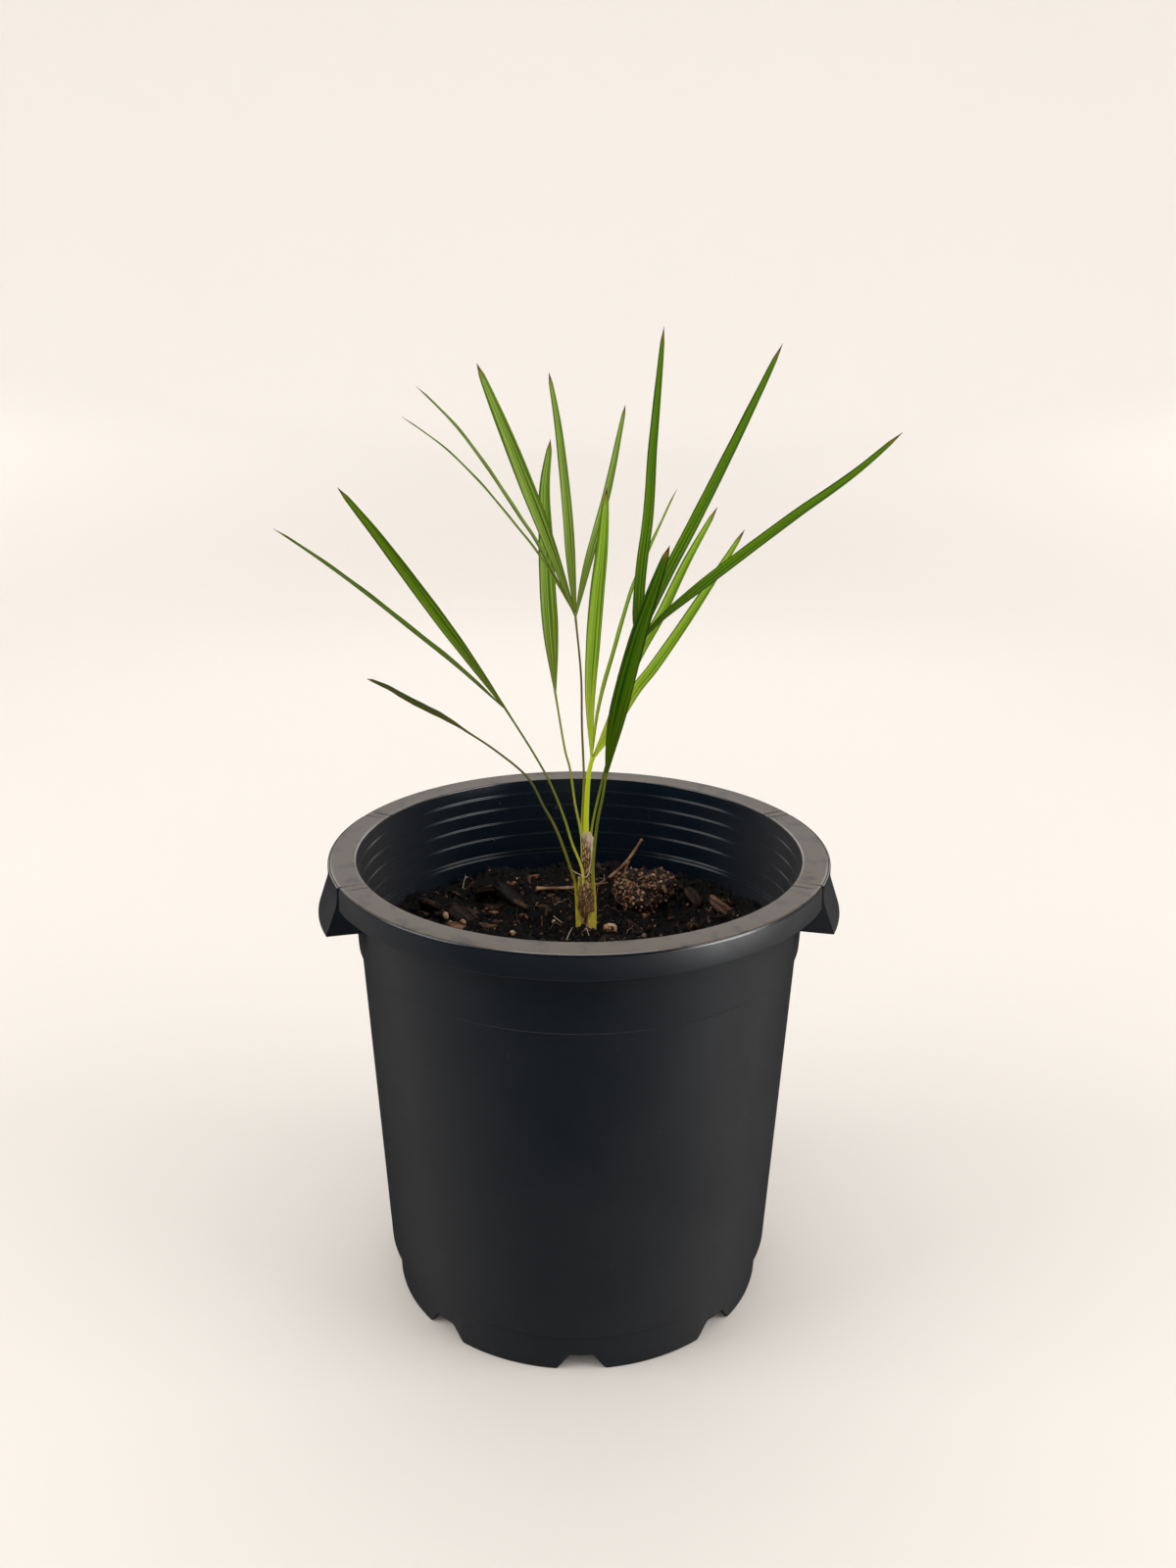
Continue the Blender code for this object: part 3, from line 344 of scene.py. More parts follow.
def pot_outline():
    """The pot's section, from the middle of the floor's top round to its underside."""
    step_top = FOOT_HEIGHT + WALL_THICKNESS
    roof = RIM_TOP - RIM_PLATE
    corners = [(0.002, FLOOR_TOP, 0.0), (foot_inner(FLOOR_TOP), FLOOR_TOP, 0.0012)]
    corners += [(foot_inner(FOOT_HEIGHT), step_top, 0.0006)]
    corners += [(inner_wall(step_top), step_top + EDGE_BREAK, 0.0006)]
    for height in LEDGE_HEIGHTS:
        corners += [(inner_wall(height) - LEDGE_STEP / 2, height, 0.0002)]
        corners += [(inner_wall(height) + LEDGE_STEP / 2, height + LEDGE_STEP, 0.0002)]
    corners += [(RIM_INNER_RADIUS, RIM_TOP, 0.0007), (RIM_RADIUS, RIM_TOP, 0.0011)]
    corners += [(RIM_RADIUS + SKIRT_SPLAY, SKIRT_BOTTOM, 0.0004)]
    corners += [(RIM_RADIUS - SKIRT_WALL, SKIRT_BOTTOM, 0.0004)]
    corners += [(RIM_RADIUS - SKIRT_WALL, roof, 0.0008)]
    corners += [(outer_wall(roof) + COLLAR_PROUD, roof, 0.0008)]
    corners += [(outer_wall(COLLAR_BOTTOM) + COLLAR_PROUD, COLLAR_BOTTOM, 0.0004)]
    corners += [(outer_wall(COLLAR_BOTTOM), COLLAR_BOTTOM - EDGE_BREAK, 0.0004)]
    corners += [(outer_wall(FOOT_HEIGHT), FOOT_HEIGHT + EDGE_BREAK, 0.0005)]
    corners += [(FOOT_TOP_RADIUS, FOOT_HEIGHT, 0.0006)]
    corners += [(FOOT_BOTTOM_RADIUS, 0.0, 0.0010), (foot_inner(0.0), 0.0, 0.0006)]
    corners += [(foot_inner(FLOOR_UNDERSIDE), FLOOR_UNDERSIDE, 0.0010)]
    corners += [(0.002, FLOOR_UNDERSIDE, 0.0)]
    return rounded(corners)


def pot_angles():
    """Angles round the pot: even ones, with finer ones at the notches and at the seams."""
    angles = [np.linspace(0.0, 360.0, 240, endpoint=False)]
    for index in range(NOTCH_COUNT):
        angles.append(360.0 / NOTCH_COUNT * index + np.linspace(-8.0, 8.0, 28))
    for quarter in (25.0, 155.0, 205.0, 335.0):
        angles.append(quarter + np.linspace(-3.4, 3.4, 52))
    return np.radians(np.unique(np.round(np.concatenate(angles) % 360.0, 3)))


def pot_points(outline, angles):
    """The pot's surface: the outline turned about Z, its foot raised at the notches and its rim
    pressed in along the seams, which run straight across at a fixed distance from the middle.
    """
    radius = outline[:, :1] + 0.0 * angles[None, :]
    height = outline[:, 1:] + 0.0 * angles[None, :]
    foot_edge = (height < 0.002) & (radius > foot_inner(0.0) - 0.0002)
    lift = notch_lift(angles)[None, :] * foot_edge
    slope = (FOOT_TOP_RADIUS - FOOT_BOTTOM_RADIUS) / FOOT_HEIGHT
    radius = radius + slope * lift
    height = height + lift
    skirt_edge = (np.abs(height - SKIRT_BOTTOM) < 0.0006) & (radius > RIM_RADIUS - SKIRT_WALL)
    wave = np.sin(5.0 * angles + 1.0) + 0.6 * np.sin(17.0 * angles) + 0.4 * np.sin(41.0 * angles)
    height = height + SKIRT_WAVE * wave[None, :] * skirt_edge

    step = np.gradient(outline, axis=0)
    length = np.maximum(np.linalg.norm(step, axis=1), 1e-9)
    inward = np.stack([-step[:, 1], step[:, 0]], axis=1) / length[:, None]
    rim = (outline[:, 0] > RIM_INNER_RADIUS) & (outline[:, 1] > SKIRT_BOTTOM - 0.0005)
    rim &= ~((outline[:, 0] < RIM_RADIUS - 0.0005) & (outline[:, 1] < RIM_TOP - 0.0004))
    across = np.abs(np.abs(radius * np.sin(angles)[None, :]) - SEAM_Y)
    near_lug = np.abs(np.cos(angles))[None, :] > 0.5
    groove = SEAM_DEPTH * smooth_step(1.6 * (1.0 - across / SEAM_HALF_WIDTH)) * near_lug
    groove = groove * rim[:, None]
    radius = radius - groove * inward[:, :1]
    height = height - groove * inward[:, 1:]
    turn = angles[None, :] + POT_TURN
    return np.stack([radius * np.cos(turn), radius * np.sin(turn), height], axis=-1)


def drill_drains(pot):
    """Cuts one round drain hole through the floor behind each notch."""
    sides = np.linspace(0.0, math.tau, 28, endpoint=False)
    for index in range(NOTCH_COUNT):
        turn = POT_TURN + math.tau * index / NOTCH_COUNT
        ring = np.stack([
            DRAIN_RING_RADIUS * math.cos(turn) + DRAIN_RADIUS * np.cos(sides),
            DRAIN_RING_RADIUS * math.sin(turn) + DRAIN_RADIUS * np.sin(sides),
        ], axis=-1)
        levels = np.array([FLOOR_UNDERSIDE - 0.002, FLOOR_TOP + 0.002])
        rows = np.stack([np.column_stack([ring, np.full(28, level)]) for level in levels])
        drill = bpy.data.objects.new("drain_drill", build_mesh("drain_drill", [shell(rows)]))
        bpy.context.scene.collection.objects.link(drill)
        cut = pot.modifiers.new("drain", "BOOLEAN")
        cut.operation = "DIFFERENCE"
        cut.solver = "MANIFOLD"
        cut.object = drill
        bpy.context.view_layer.update()
        depsgraph = bpy.context.evaluated_depsgraph_get()
        mesh = bpy.data.meshes.new_from_object(pot.evaluated_get(depsgraph))
        pot.modifiers.clear()
        pot.data = mesh
        bpy.data.objects.remove(drill)
    pot.data.shade_smooth()
    pot.data.set_sharp_from_angle(angle=math.radians(50))


def black_plastic():
    """Blue-black plastic with flow marks and fine grain, painted greyer where it turns away from the view as
    a painted sheen. The walls are satin, the inside and the rim's rounded edge are glossier, and the top of
    the rim is painted a lighter grey, partly real dust and partly a painted reflection of the light above.
    """
    material, tree, shader = finish("black_plastic", 0.42)
    here = node(tree, "ShaderNodeTexCoord", {}).outputs["Object"]
    height = node(tree, "ShaderNodeSeparateXYZ", {"Vector": here}).outputs["Z"]
    level = node(tree, "ShaderNodeVectorMath", {0: here, 1: (1.0, 1.0, 0.0)}, operation="MULTIPLY")
    radius = node(tree, "ShaderNodeVectorMath", {
        0: level.outputs["Vector"]}, operation="LENGTH").outputs["Value"]

    def ramp(value, low, high, first=0.0, last=1.0):
        """A share that runs from first to last while the value runs from low to high."""
        return node(tree, "ShaderNodeMapRange", {
            "Value": value, "From Min": low, "From Max": high,
            "To Min": first, "To Max": last}).outputs["Result"]

    def times(first, second):
        """The product of two shares."""
        return node(tree, "ShaderNodeMath", {
            0: first, 1: second}, operation="MULTIPLY").outputs["Value"]

    def noise(scale, detail, stretch=(1.0, 1.0, 1.0)):
        """Noise in the object's own space, drawn out where its scale is small."""
        place = node(tree, "ShaderNodeMapping", {"Vector": here, "Scale": stretch})
        return node(tree, "ShaderNodeTexNoise", {
            "Vector": place.outputs["Vector"], "Scale": scale, "Detail": detail}).outputs["Fac"]

    broad = noise(22.0, 4.0)
    scuffs = noise(120.0, 6.0)
    grain = noise(2600.0, 2.0)
    drawn = noise(260.0, 3.0, (1.0, 1.0, 0.12))
    colour = blend(tree, broad, PLASTIC_DEEP, PLASTIC_PALE)
    # Painted sheen: the colour turns greyer where the surface faces away from the view, standing in for the
    # reflection at a grazing angle.
    turned = node(tree, "ShaderNodeLayerWeight", {"Blend": 0.5}).outputs["Facing"]
    colour = blend(tree, ramp(turned, 0.18, 0.60, 0.0, 0.9), colour, PLASTIC_PAINTED_SHEEN)
    colour = blend(tree, ramp(noise(420.0, 5.0), 0.705, 0.76), colour, (0.040, 0.042, 0.044))
    # The top of the rim is painted a lighter warm grey: partly dust, partly a painted reflection of the
    # light above.
    rim_top_share = ramp(height, RIM_TOP - 0.0005, RIM_TOP - 0.0001)
    dust_and_sheen = times(rim_top_share, times(ramp(broad, 0.3, 0.7, 0.72, 1.0), ramp(scuffs, 0.30, 0.46, 0.35)))
    colour = blend(tree, dust_and_sheen, colour, RIM_DUST_AND_SHEEN)
    tree.links.new(colour, shader.inputs["Base Color"])

    taper = node(tree, "ShaderNodeMath", {
        0: height, 1: -WALL_TAPER, 2: radius}, operation="MULTIPLY_ADD").outputs["Value"]
    inside = times(ramp(taper, WALL_RADIUS_AT_FLOOR - 0.0005, WALL_RADIUS_AT_FLOOR - 0.0009),
                   ramp(height, FOOT_HEIGHT + 0.003, FOOT_HEIGHT + 0.006))
    lip = times(ramp(radius, RIM_RADIUS - 0.0013, RIM_RADIUS - 0.0007),
                ramp(height, RIM_TOP - 0.0014, RIM_TOP - 0.0007))
    glossy = node(tree, "ShaderNodeMath", {0: inside, 1: lip}, operation="MAXIMUM")
    glossy = glossy.outputs["Value"]
    tree.links.new(ramp(glossy, 0.0, 1.0, 0.50, 0.60), shader.inputs["Specular IOR Level"])
    gloss = node(tree, "ShaderNodeMix", {
        0: glossy, 2: ramp(broad, 0.3, 0.7, 0.44, 0.54), 3: 0.17}, data_type="FLOAT")
    tree.links.new(gloss.outputs[0], shader.inputs["Roughness"])
    marks = node(tree, "ShaderNodeMath", {0: drawn, 1: 0.5, 2: grain}, operation="MULTIPLY_ADD")
    bump = node(tree, "ShaderNodeBump", {
        "Height": marks.outputs["Value"], "Strength": 0.35, "Distance": 0.00006})
    tree.links.new(bump.outputs["Normal"], shader.inputs["Normal"])
    return material


PLASTIC_DEEP = (0.0020, 0.0068, 0.0135)
PLASTIC_PALE = (0.0042, 0.0090, 0.0165)
PLASTIC_PAINTED_SHEEN = (0.0400, 0.0410, 0.0450)

pot_plastic = black_plastic()
pot_shell = shell(pot_points(pot_outline(), pot_angles()))
nursery_pot = dress("nursery_pot", [pot_shell], pot_plastic, instead_of="pot")
drill_drains(nursery_pot)


# Grip lugs
# Moulded on the rim at left and right: a skirt a little proud of the rim that flares out to a
# lip for the fingers, closed by a thin upright web at each end.

LUG_HALF_WIDTH = 0.0393
LUG_PROUD = 0.0005
LUG_WALL = 0.0013
LUG_TOP_DROP = 0.0005
FLAP_START = 0.1845
FLAP_TIP_RADIUS = 0.1052
FLAP_TIP_HEIGHT = 0.1704
WEB_WALL = 0.0012
WEB_BOTTOM = 0.1722


def lug_section(webbed):
    """One section of the lug, from its top down the outside, round the lip and back up. Where
    it is webbed, the inside runs in along the web's foot and up the pot's wall instead.
    """
    proud = RIM_RADIUS + LUG_PROUD
    outside = rounded([
        (proud - 0.0009, RIM_TOP - LUG_TOP_DROP, 0.0),
        (proud, RIM_TOP - LUG_TOP_DROP, 0.0006),
        (proud, FLAP_START, 0.0030),
        (FLAP_TIP_RADIUS, FLAP_TIP_HEIGHT, 0.0006),
        (FLAP_TIP_RADIUS - LUG_WALL, FLAP_TIP_HEIGHT + 0.0002, 0.0),
    ])
    share = np.linspace(0.0, 1.0, 13)[1:, None]
    corner = np.array([proud - LUG_WALL, FLAP_START])
    tip = outside[-1]
    if webbed:
        low = np.array([outer_wall(WEB_BOTTOM) + COLLAR_PROUD / 2, WEB_BOTTOM])
        high = np.array([outer_wall(RIM_TOP - RIM_PLATE) + COLLAR_PROUD / 2, RIM_TOP - 0.0016])
        first = tip + (low - tip) * np.minimum(share * 2.0, 1.0)
        inside = first + (high - low) * np.clip(share * 2.0 - 1.0, 0.0, 1.0)
    else:
        top = np.array([proud - LUG_WALL, RIM_TOP - 0.0016])
        first = tip + (corner - tip) * np.minimum(share * 2.0, 1.0)
        inside = first + (top - corner) * np.clip(share * 2.0 - 1.0, 0.0, 1.0)
    return np.vstack([outside, inside])


def lug_points(side):
    """The lug's surface: sections in planes of equal Y, with a web's width at both ends. Each
    point lies where its radius meets its plane, so that the lug follows the round rim.
    """
    open_section = lug_section(False)
    webbed_section = lug_section(True)
    inner_edge = LUG_HALF_WIDTH - WEB_WALL
    ends = [(-LUG_HALF_WIDTH, webbed_section), (-inner_edge, webbed_section)]
    middle = [(y, open_section) for y in np.linspace(-inner_edge, inner_edge, 56)]
    planes = ends + middle + [(-y, section) for y, section in reversed(ends)]
    rows = []
    for y, section in planes:
        x = side * np.sqrt(section[:, 0] ** 2 - y * y)
        rows.append(np.column_stack([x, np.full(len(section), y), section[:, 1]]))
    points = np.array(rows)
    across, along = points[..., 0].copy(), points[..., 1].copy()
    points[..., 0] = across * math.cos(POT_TURN) - along * math.sin(POT_TURN)
    points[..., 1] = across * math.sin(POT_TURN) + along * math.cos(POT_TURN)
    return points


for lug_name, lug_side in (("grip_lug_right", 1.0), ("grip_lug_left", -1.0)):
    grip_lug = dress(lug_name, [shell(lug_points(lug_side))], pot_plastic)
    grip_lug.data.set_sharp_from_angle(angle=math.radians(40))


# Potting mix
# Dark peat and composted bark, filled to a little under the rim. Its top is lumpy and grainy,
# and it closes up round the stem.

MIX_TOP = 0.1495
LUMP_WAVES = (
    (0.0017, 118.0, 94.0, 0.6),
    (0.0012, -176.0, 205.0, 1.9),
    (0.0008, 296.0, 261.0, 0.3),
)
GRAIN_WAVES = ((0.0090, 0.00075), (0.0042, 0.00060), (0.0019, 0.00036))
GRAIN_SEED = 7
MIX_CLEAR = 0.0002
MIX_RINGS = 170
MIX_COLUMNS = 400


def rippled(x, y, waves, seed):
    """Adds up sine waves that run in random directions, each kind by its length and its size."""
    draw = np.random.default_rng(seed)
    height = 0.0 * x
    for length, size in waves:
        for turn, phase in draw.uniform(0.0, math.tau, (7, 2)):
            run = x * math.cos(turn) + y * math.sin(turn)
            height = height + size / 2.0 * np.sin(math.tau / length * run + phase)
    return height


def mix_height(x, y):
    """Height of the mix's surface: its mean, three broad crossing waves and a grain."""
    height = MIX_TOP + rippled(x, y, GRAIN_WAVES, GRAIN_SEED)
    for size, across, along, phase in LUMP_WAVES:
        height = height + size * np.sin(across * x + phase) * np.cos(along * y - phase)
    return height


def mix_points():
    """The mix's skin: rings from the middle out to the wall, then down the pot's inside."""
    turn = np.linspace(0.0, math.tau, MIX_COLUMNS, endpoint=False)[None, :]
    reach = np.linspace(0.0006, inner_wall(MIX_TOP) - MIX_CLEAR, MIX_RINGS)[:, None]
    height = mix_height(reach * np.cos(turn), reach * np.sin(turn))
    reach = np.minimum(reach + 0.0 * turn, inner_wall(height) - MIX_CLEAR)
    step_top = FOOT_HEIGHT + WALL_THICKNESS
    below = np.array([
        (inner_wall(step_top) - MIX_CLEAR, step_top + EDGE_BREAK + MIX_CLEAR),
        (foot_inner(FOOT_HEIGHT) - MIX_CLEAR, step_top + MIX_CLEAR),
        (foot_inner(FLOOR_TOP) - MIX_CLEAR, FLOOR_TOP + MIX_CLEAR),
        (0.0006, FLOOR_TOP + MIX_CLEAR),
    ])
    reach = np.vstack([reach, below[:, :1] + 0.0 * turn])
    height = np.vstack([height, below[:, 1:] + 0.0 * turn])
    return np.stack([reach * np.cos(turn), reach * np.sin(turn), height], axis=-1)


def mix_earth():
    """Near-black moist peat with brown grains, rough all over."""
    material, tree, shader = finish("potting_mix", 0.75, 0.20)
    here = node(tree, "ShaderNodeTexCoord", {}).outputs["Object"]
    grains = node(tree, "ShaderNodeTexVoronoi", {"Vector": here, "Scale": 900.0})
    broad = node(tree, "ShaderNodeTexNoise", {"Vector": here, "Scale": 160.0, "Detail": 6.0})
    tones = node(tree, "ShaderNodeSeparateColor", {"Color": grains.outputs["Color"]})
    brown = node(tree, "ShaderNodeMapRange", {
        "Value": tones.outputs["Red"], "From Min": 0.55, "From Max": 1.0})
    colour = blend(tree, brown.outputs["Result"], MIX_DARK, MIX_BROWN)
    shade = node(tree, "ShaderNodeMapRange", {
        "Value": broad.outputs["Fac"], "From Min": 0.35, "From Max": 0.70, "To Max": 0.75})
    colour = blend(tree, shade.outputs["Result"], colour, MIX_DARK)
    tree.links.new(colour, shader.inputs["Base Color"])
    relief = node(tree, "ShaderNodeMath", {
        0: grains.outputs["Distance"], 1: -0.5, 2: broad.outputs["Fac"]}, operation="MULTIPLY_ADD")
    bump = node(tree, "ShaderNodeBump", {
        "Height": relief.outputs["Value"], "Strength": 0.9, "Distance": 0.0008})
    tree.links.new(bump.outputs["Normal"], shader.inputs["Normal"])
    return material


MIX_DARK = (0.0016, 0.0013, 0.0011)
MIX_BROWN = (0.0150, 0.0095, 0.0065)

dress("potting_mix_bed", [shell(mix_points())], mix_earth(),
      instead_of="potting_mix")


# Crumbs, bark and roots on the mix
# Loose crumbs of peat, composted pine bark in torn chips, pale flecks and a few fine roots, all
# lying half sunk in the surface.

BARK_THICKNESS = 0.0030
BARK_LIFT = 0.0006
SHOWN_BARK = (
    (-0.0420, 0.0480, 0.0130, 0.0110, 100.0, 34.0),
    (-0.0300, 0.0400, 0.0160, 0.0060, -38.0, 24.0),
    (-0.0370, 0.0330, 0.0090, 0.0060, 12.0, 14.0),
    (-0.0640, 0.0330, 0.0170, 0.0080, 66.0, 38.0),
    (-0.0510, 0.0240, 0.0120, 0.0070, -30.0, 26.0),
    (-0.0520, 0.0120, 0.0080, 0.0050, 25.0, 18.0),
    (-0.0380, 0.0110, 0.0080, 0.0060, 64.0, 20.0),
    (0.0480, 0.0140, 0.0130, 0.0050, 78.0, 42.0),
    (0.0500, 0.0440, 0.0100, 0.0050, -48.0, 36.0),
    (0.0630, 0.0360, 0.0140, 0.0060, -28.0, 30.0),
)
SHOWN_TONES = (0.38, 0.18, 0.54, 0.36, 0.24, 0.50, 0.44, 0.44, 0.36, 0.52)
SCATTERED_BARK = 20
SCATTERED_LENGTHS = (0.0060, 0.0120)
SCATTERED_TILT = 26.0
BARK_SEED = 41
BARK_REACH = 0.0700
KEPT_CLEAR = (
    (0.0030, 0.0139, 0.0140),
    (0.0265, 0.0405, 0.0170),
    (0.0128, 0.0100, 0.0080),
    (-0.0195, 0.0490, 0.0120),
    (-0.0030, 0.0520, 0.0120),
    (0.0125, 0.0555, 0.0120),
    (0.0078, 0.0600, 0.0120),
    (0.0140, 0.0625, 0.0120),
    (0.0215, 0.0655, 0.0120),
    (0.0280, 0.0690, 0.0120),
)
SMALL_CHIPS = 110
CRUMBS = 3000
PALE_CRUMBS = 60
STRANDS = 260
ROOTS = 26
SHOWN_PEBBLES = (
    (-0.0571, 0.0214, 0.0017, 0.80),
    (-0.0550, 0.0190, 0.0011, 0.74),
    (-0.0490, 0.0144, 0.0015, 0.72),
    (-0.0364, 0.0116, 0.0015, 0.76),
    (-0.0280, 0.0088, 0.0012, 0.78),
    (-0.0110, 0.0200, 0.0011, 0.90),
    (-0.0409, 0.0494, 0.0008, 0.70),
    (0.0560, 0.0330, 0.0009, 0.86),
)
SHOWN_ROOTS = (
    ((-0.0133, 0.0271), (-0.0104, 0.0226), (-0.0076, 0.0170)),
    ((-0.0053, 0.0031), (-0.0042, 0.0058), (-0.0029, 0.0081)),
    ((0.0020, 0.0052), (0.0030, 0.0030), (0.0041, 0.0004)),
    ((-0.0527, 0.0548), (-0.0517, 0.0585), (-0.0507, 0.0622)),
)
LITTER_REACH = 0.0835
LITTER_SEED = 12


def ball(rows, columns):
    """Rings of a unit ball, from its low end to its high end."""
    fall = (np.arange(rows) + 0.5)[:, None] * math.pi / rows
    turn = np.arange(columns)[None, :] * math.tau / columns
    flat = 0.0 * turn
    return np.stack([np.sin(fall) * np.cos(turn), np.sin(fall) * np.sin(turn),
                     flat - np.cos(fall)], axis=-1)


def slab(rows, columns, squareness):
    """A ball pushed out towards the corners of the box round it."""
    way = ball(rows, columns)
    return np.sign(way) * np.abs(way) ** squareness


def random_turns(draw, count):
    """Random rotations: random matrices with their columns made square to each other."""
    turns = np.linalg.qr(draw.normal(size=(count, 3, 3)))[0]
    return turns * np.linalg.det(turns)[:, None, None]


def scattered(draw, pattern, centres, sizes, turns, roughness, tones):
    """Copies of one closed shape, each stretched, roughened, turned and moved to its place."""
    places, quads, triangles = shell(pattern)
    count = len(centres)
    uneven = 1.0 + roughness * draw.uniform(-1.0, 1.0, (count, len(places), 1))
    stretched = places[None] * uneven * sizes[:, None, :]
    moved = np.einsum("nij,nkj->nki", turns, stretched) + centres[:, None, :]
    tone = np.broadcast_to(tones[:, None, None], (count, len(places), 1))
    moved = np.concatenate([moved, tone], axis=-1).reshape(-1, 4)
    first = (np.arange(count) * len(places))[:, None, None]
    return moved, (quads + first).reshape(-1, 4), (triangles + first).reshape(-1, 3)


def bark_places():
    """Bark chips: those that show, then more from a seeded draw clear of what rests there."""
    draw = random.Random(BARK_SEED)
    places = list(SHOWN_BARK)
    while len(places) < len(SHOWN_BARK) + SCATTERED_BARK:
        reach = BARK_REACH * math.sqrt(draw.random())
        angle = draw.uniform(0.0, math.tau)
        x = reach * math.cos(angle)
        y = reach * math.sin(angle)
        if all(math.hypot(x - cx, y - cy) > room for cx, cy, room in KEPT_CLEAR):
            length = draw.uniform(*SCATTERED_LENGTHS)
            width = length * draw.uniform(0.4, 0.8)
            tilt = draw.uniform(-SCATTERED_TILT, SCATTERED_TILT)
            places.append((x, y, length, width, draw.uniform(0.0, 180.0), tilt))
    return np.array(places)


def torn_chip(draw, centre, size, turn, tone):
    """A chip torn along its grain: ridges run its whole length and its ends are uneven."""
    way = slab(CHIP_RINGS, CHIP_SIDES, 0.6)[..., [2, 0, 1]]
    torn = 1.0 + 0.30 * draw.uniform(-1.0, 1.0, (1, CHIP_SIDES, 1))
    ridges = 1.0 + 0.34 * draw.uniform(-1.0, 1.0, (1, CHIP_SIDES, 1))
    rough = 1.0 + 0.12 * draw.uniform(-1.0, 1.0, (CHIP_RINGS, CHIP_SIDES, 1))
    local = way * rough * np.concatenate([torn, ridges, ridges], axis=-1) * size / 2.0
    # Painted shade: the tone is painted lighter along the ridges that stand out and darker along those
    # pressed in.
    tones = tone + 0.7 * (ridges - 1.0) * abs(tone) + 0.0 * rough
    return shell(np.concatenate([local @ turn.T + centre, tones], axis=-1))


def bark_chips(draw):
    """The chips, each tilted about its short side, turned about Z and half sunk in the mix."""
    x, y, length, width, turn, tilt = bark_places().T
    turn, tilt = np.radians(turn), np.radians(tilt)
    nothing = 0.0 * turn
    turns = np.stack([
        np.stack([np.cos(turn) * np.cos(tilt), -np.sin(turn), np.cos(turn) * np.sin(tilt)], -1),
        np.stack([np.sin(turn) * np.cos(tilt), np.cos(turn), np.sin(turn) * np.sin(tilt)], -1),
        np.stack([-np.sin(tilt), nothing, np.cos(tilt)], -1),
    ], axis=1)
    centres = np.stack([x, y, mix_height(x, y) + BARK_LIFT], axis=-1)
    sizes = np.stack([length, width, nothing + BARK_THICKNESS], axis=-1)
    tones = np.concatenate([SHOWN_TONES, draw.uniform(0.12, 0.46, SCATTERED_BARK)])
    return [torn_chip(draw, *chip) for chip in zip(centres, sizes, turns, tones)]


def strewn(draw, count, reach):
    """Random places on the mix, spread evenly over its round top."""
    out = reach * np.sqrt(draw.random(count))
    turn = draw.uniform(0.0, math.tau, count)
    x, y = out * np.cos(turn), out * np.sin(turn)
    return np.stack([x, y, mix_height(x, y)], axis=-1)


def tube(route, radii, sides, tone=0.0):
    """Rings round a route. Each ring lies square to the way ahead, with one number more."""
    ahead = unit(np.gradient(route, axis=0))
    upright = np.abs(ahead[:, 2:]).mean() > 0.7
    guide = np.array([0.0, 1.0, 0.0]) if upright else np.array([0.0, 0.0, 1.0])
    right = unit(np.cross(ahead, guide))
    over = np.cross(right, ahead)
    turn = np.linspace(0.0, math.tau, sides, endpoint=False)[None, :, None]
    radii = np.broadcast_to(radii, len(route))[:, None, None]
    ring = route[:, None] + radii * (np.cos(turn) * right[:, None] + np.sin(turn) * over[:, None])
    return np.concatenate([ring, np.full((*ring.shape[:2], 1), tone)], axis=-1)


def unit(vectors):
    """Vectors scaled to a length of one."""
    return vectors / np.maximum(np.linalg.norm(vectors, axis=-1, keepdims=True), 1e-12)


def fine_roots(draw, count, lengths, radii, tones):
    """Threads that lie on the mix in shallow arcs, both ends dipping into it."""
    roots = []
    for start in strewn(draw, count, LITTER_REACH):
        heading, bend = draw.uniform(0.0, math.tau), draw.normal(0.0, 1.6)
        length, radius = draw.uniform(*lengths), draw.uniform(*radii)
        share = np.linspace(0.0, 1.0, 8)
        turn = heading + bend * share + 0.35 * np.sin(9.0 * share + heading)
        x = start[0] + np.cumsum(np.cos(turn)) * length / 8
        y = start[1] + np.cumsum(np.sin(turn)) * length / 8
        if np.hypot(x, y).max() < LITTER_REACH:
            arch = 0.16 * length * np.sin(math.pi * share) * draw.uniform(0.2, 1.0)
            route = np.stack([x, y, mix_height(x, y) + arch], axis=-1)
            roots.append(shell(tube(route, radius, 4, draw.uniform(*tones))))
    return roots


def smooth_route(points, count):
    """Evenly numbered points on a Catmull-Rom curve through the given ones."""
    knots = np.array(points)
    knots = np.vstack([2 * knots[0] - knots[1], knots, 2 * knots[-1] - knots[-2]])
    place = np.linspace(0.0, len(points) - 1, count)
    span = np.minimum(place.astype(int), len(points) - 2)
    t = (place - span)[:, None]
    before, start, end, after = (knots[span + step] for step in range(4))
    bend = (2 * before - 5 * start + 4 * end - after) * t * t
    twist = (3 * start - before - 3 * end + after) * t * t * t
    return (2 * start + (end - before) * t + bend + twist) / 2


def shown_root(points):
    """A white root that stands in a low arch from one place on the mix to another."""
    places = [(x, y, mix_height(x, y) + lift) for (x, y), lift in zip(points, (0.0, 0.0016, 0.0002))]
    route = smooth_route(places, 14)
    return shell(tube(route, 0.00017 - 0.00006 * np.linspace(0.0, 1.0, 14), 6, 0.97))


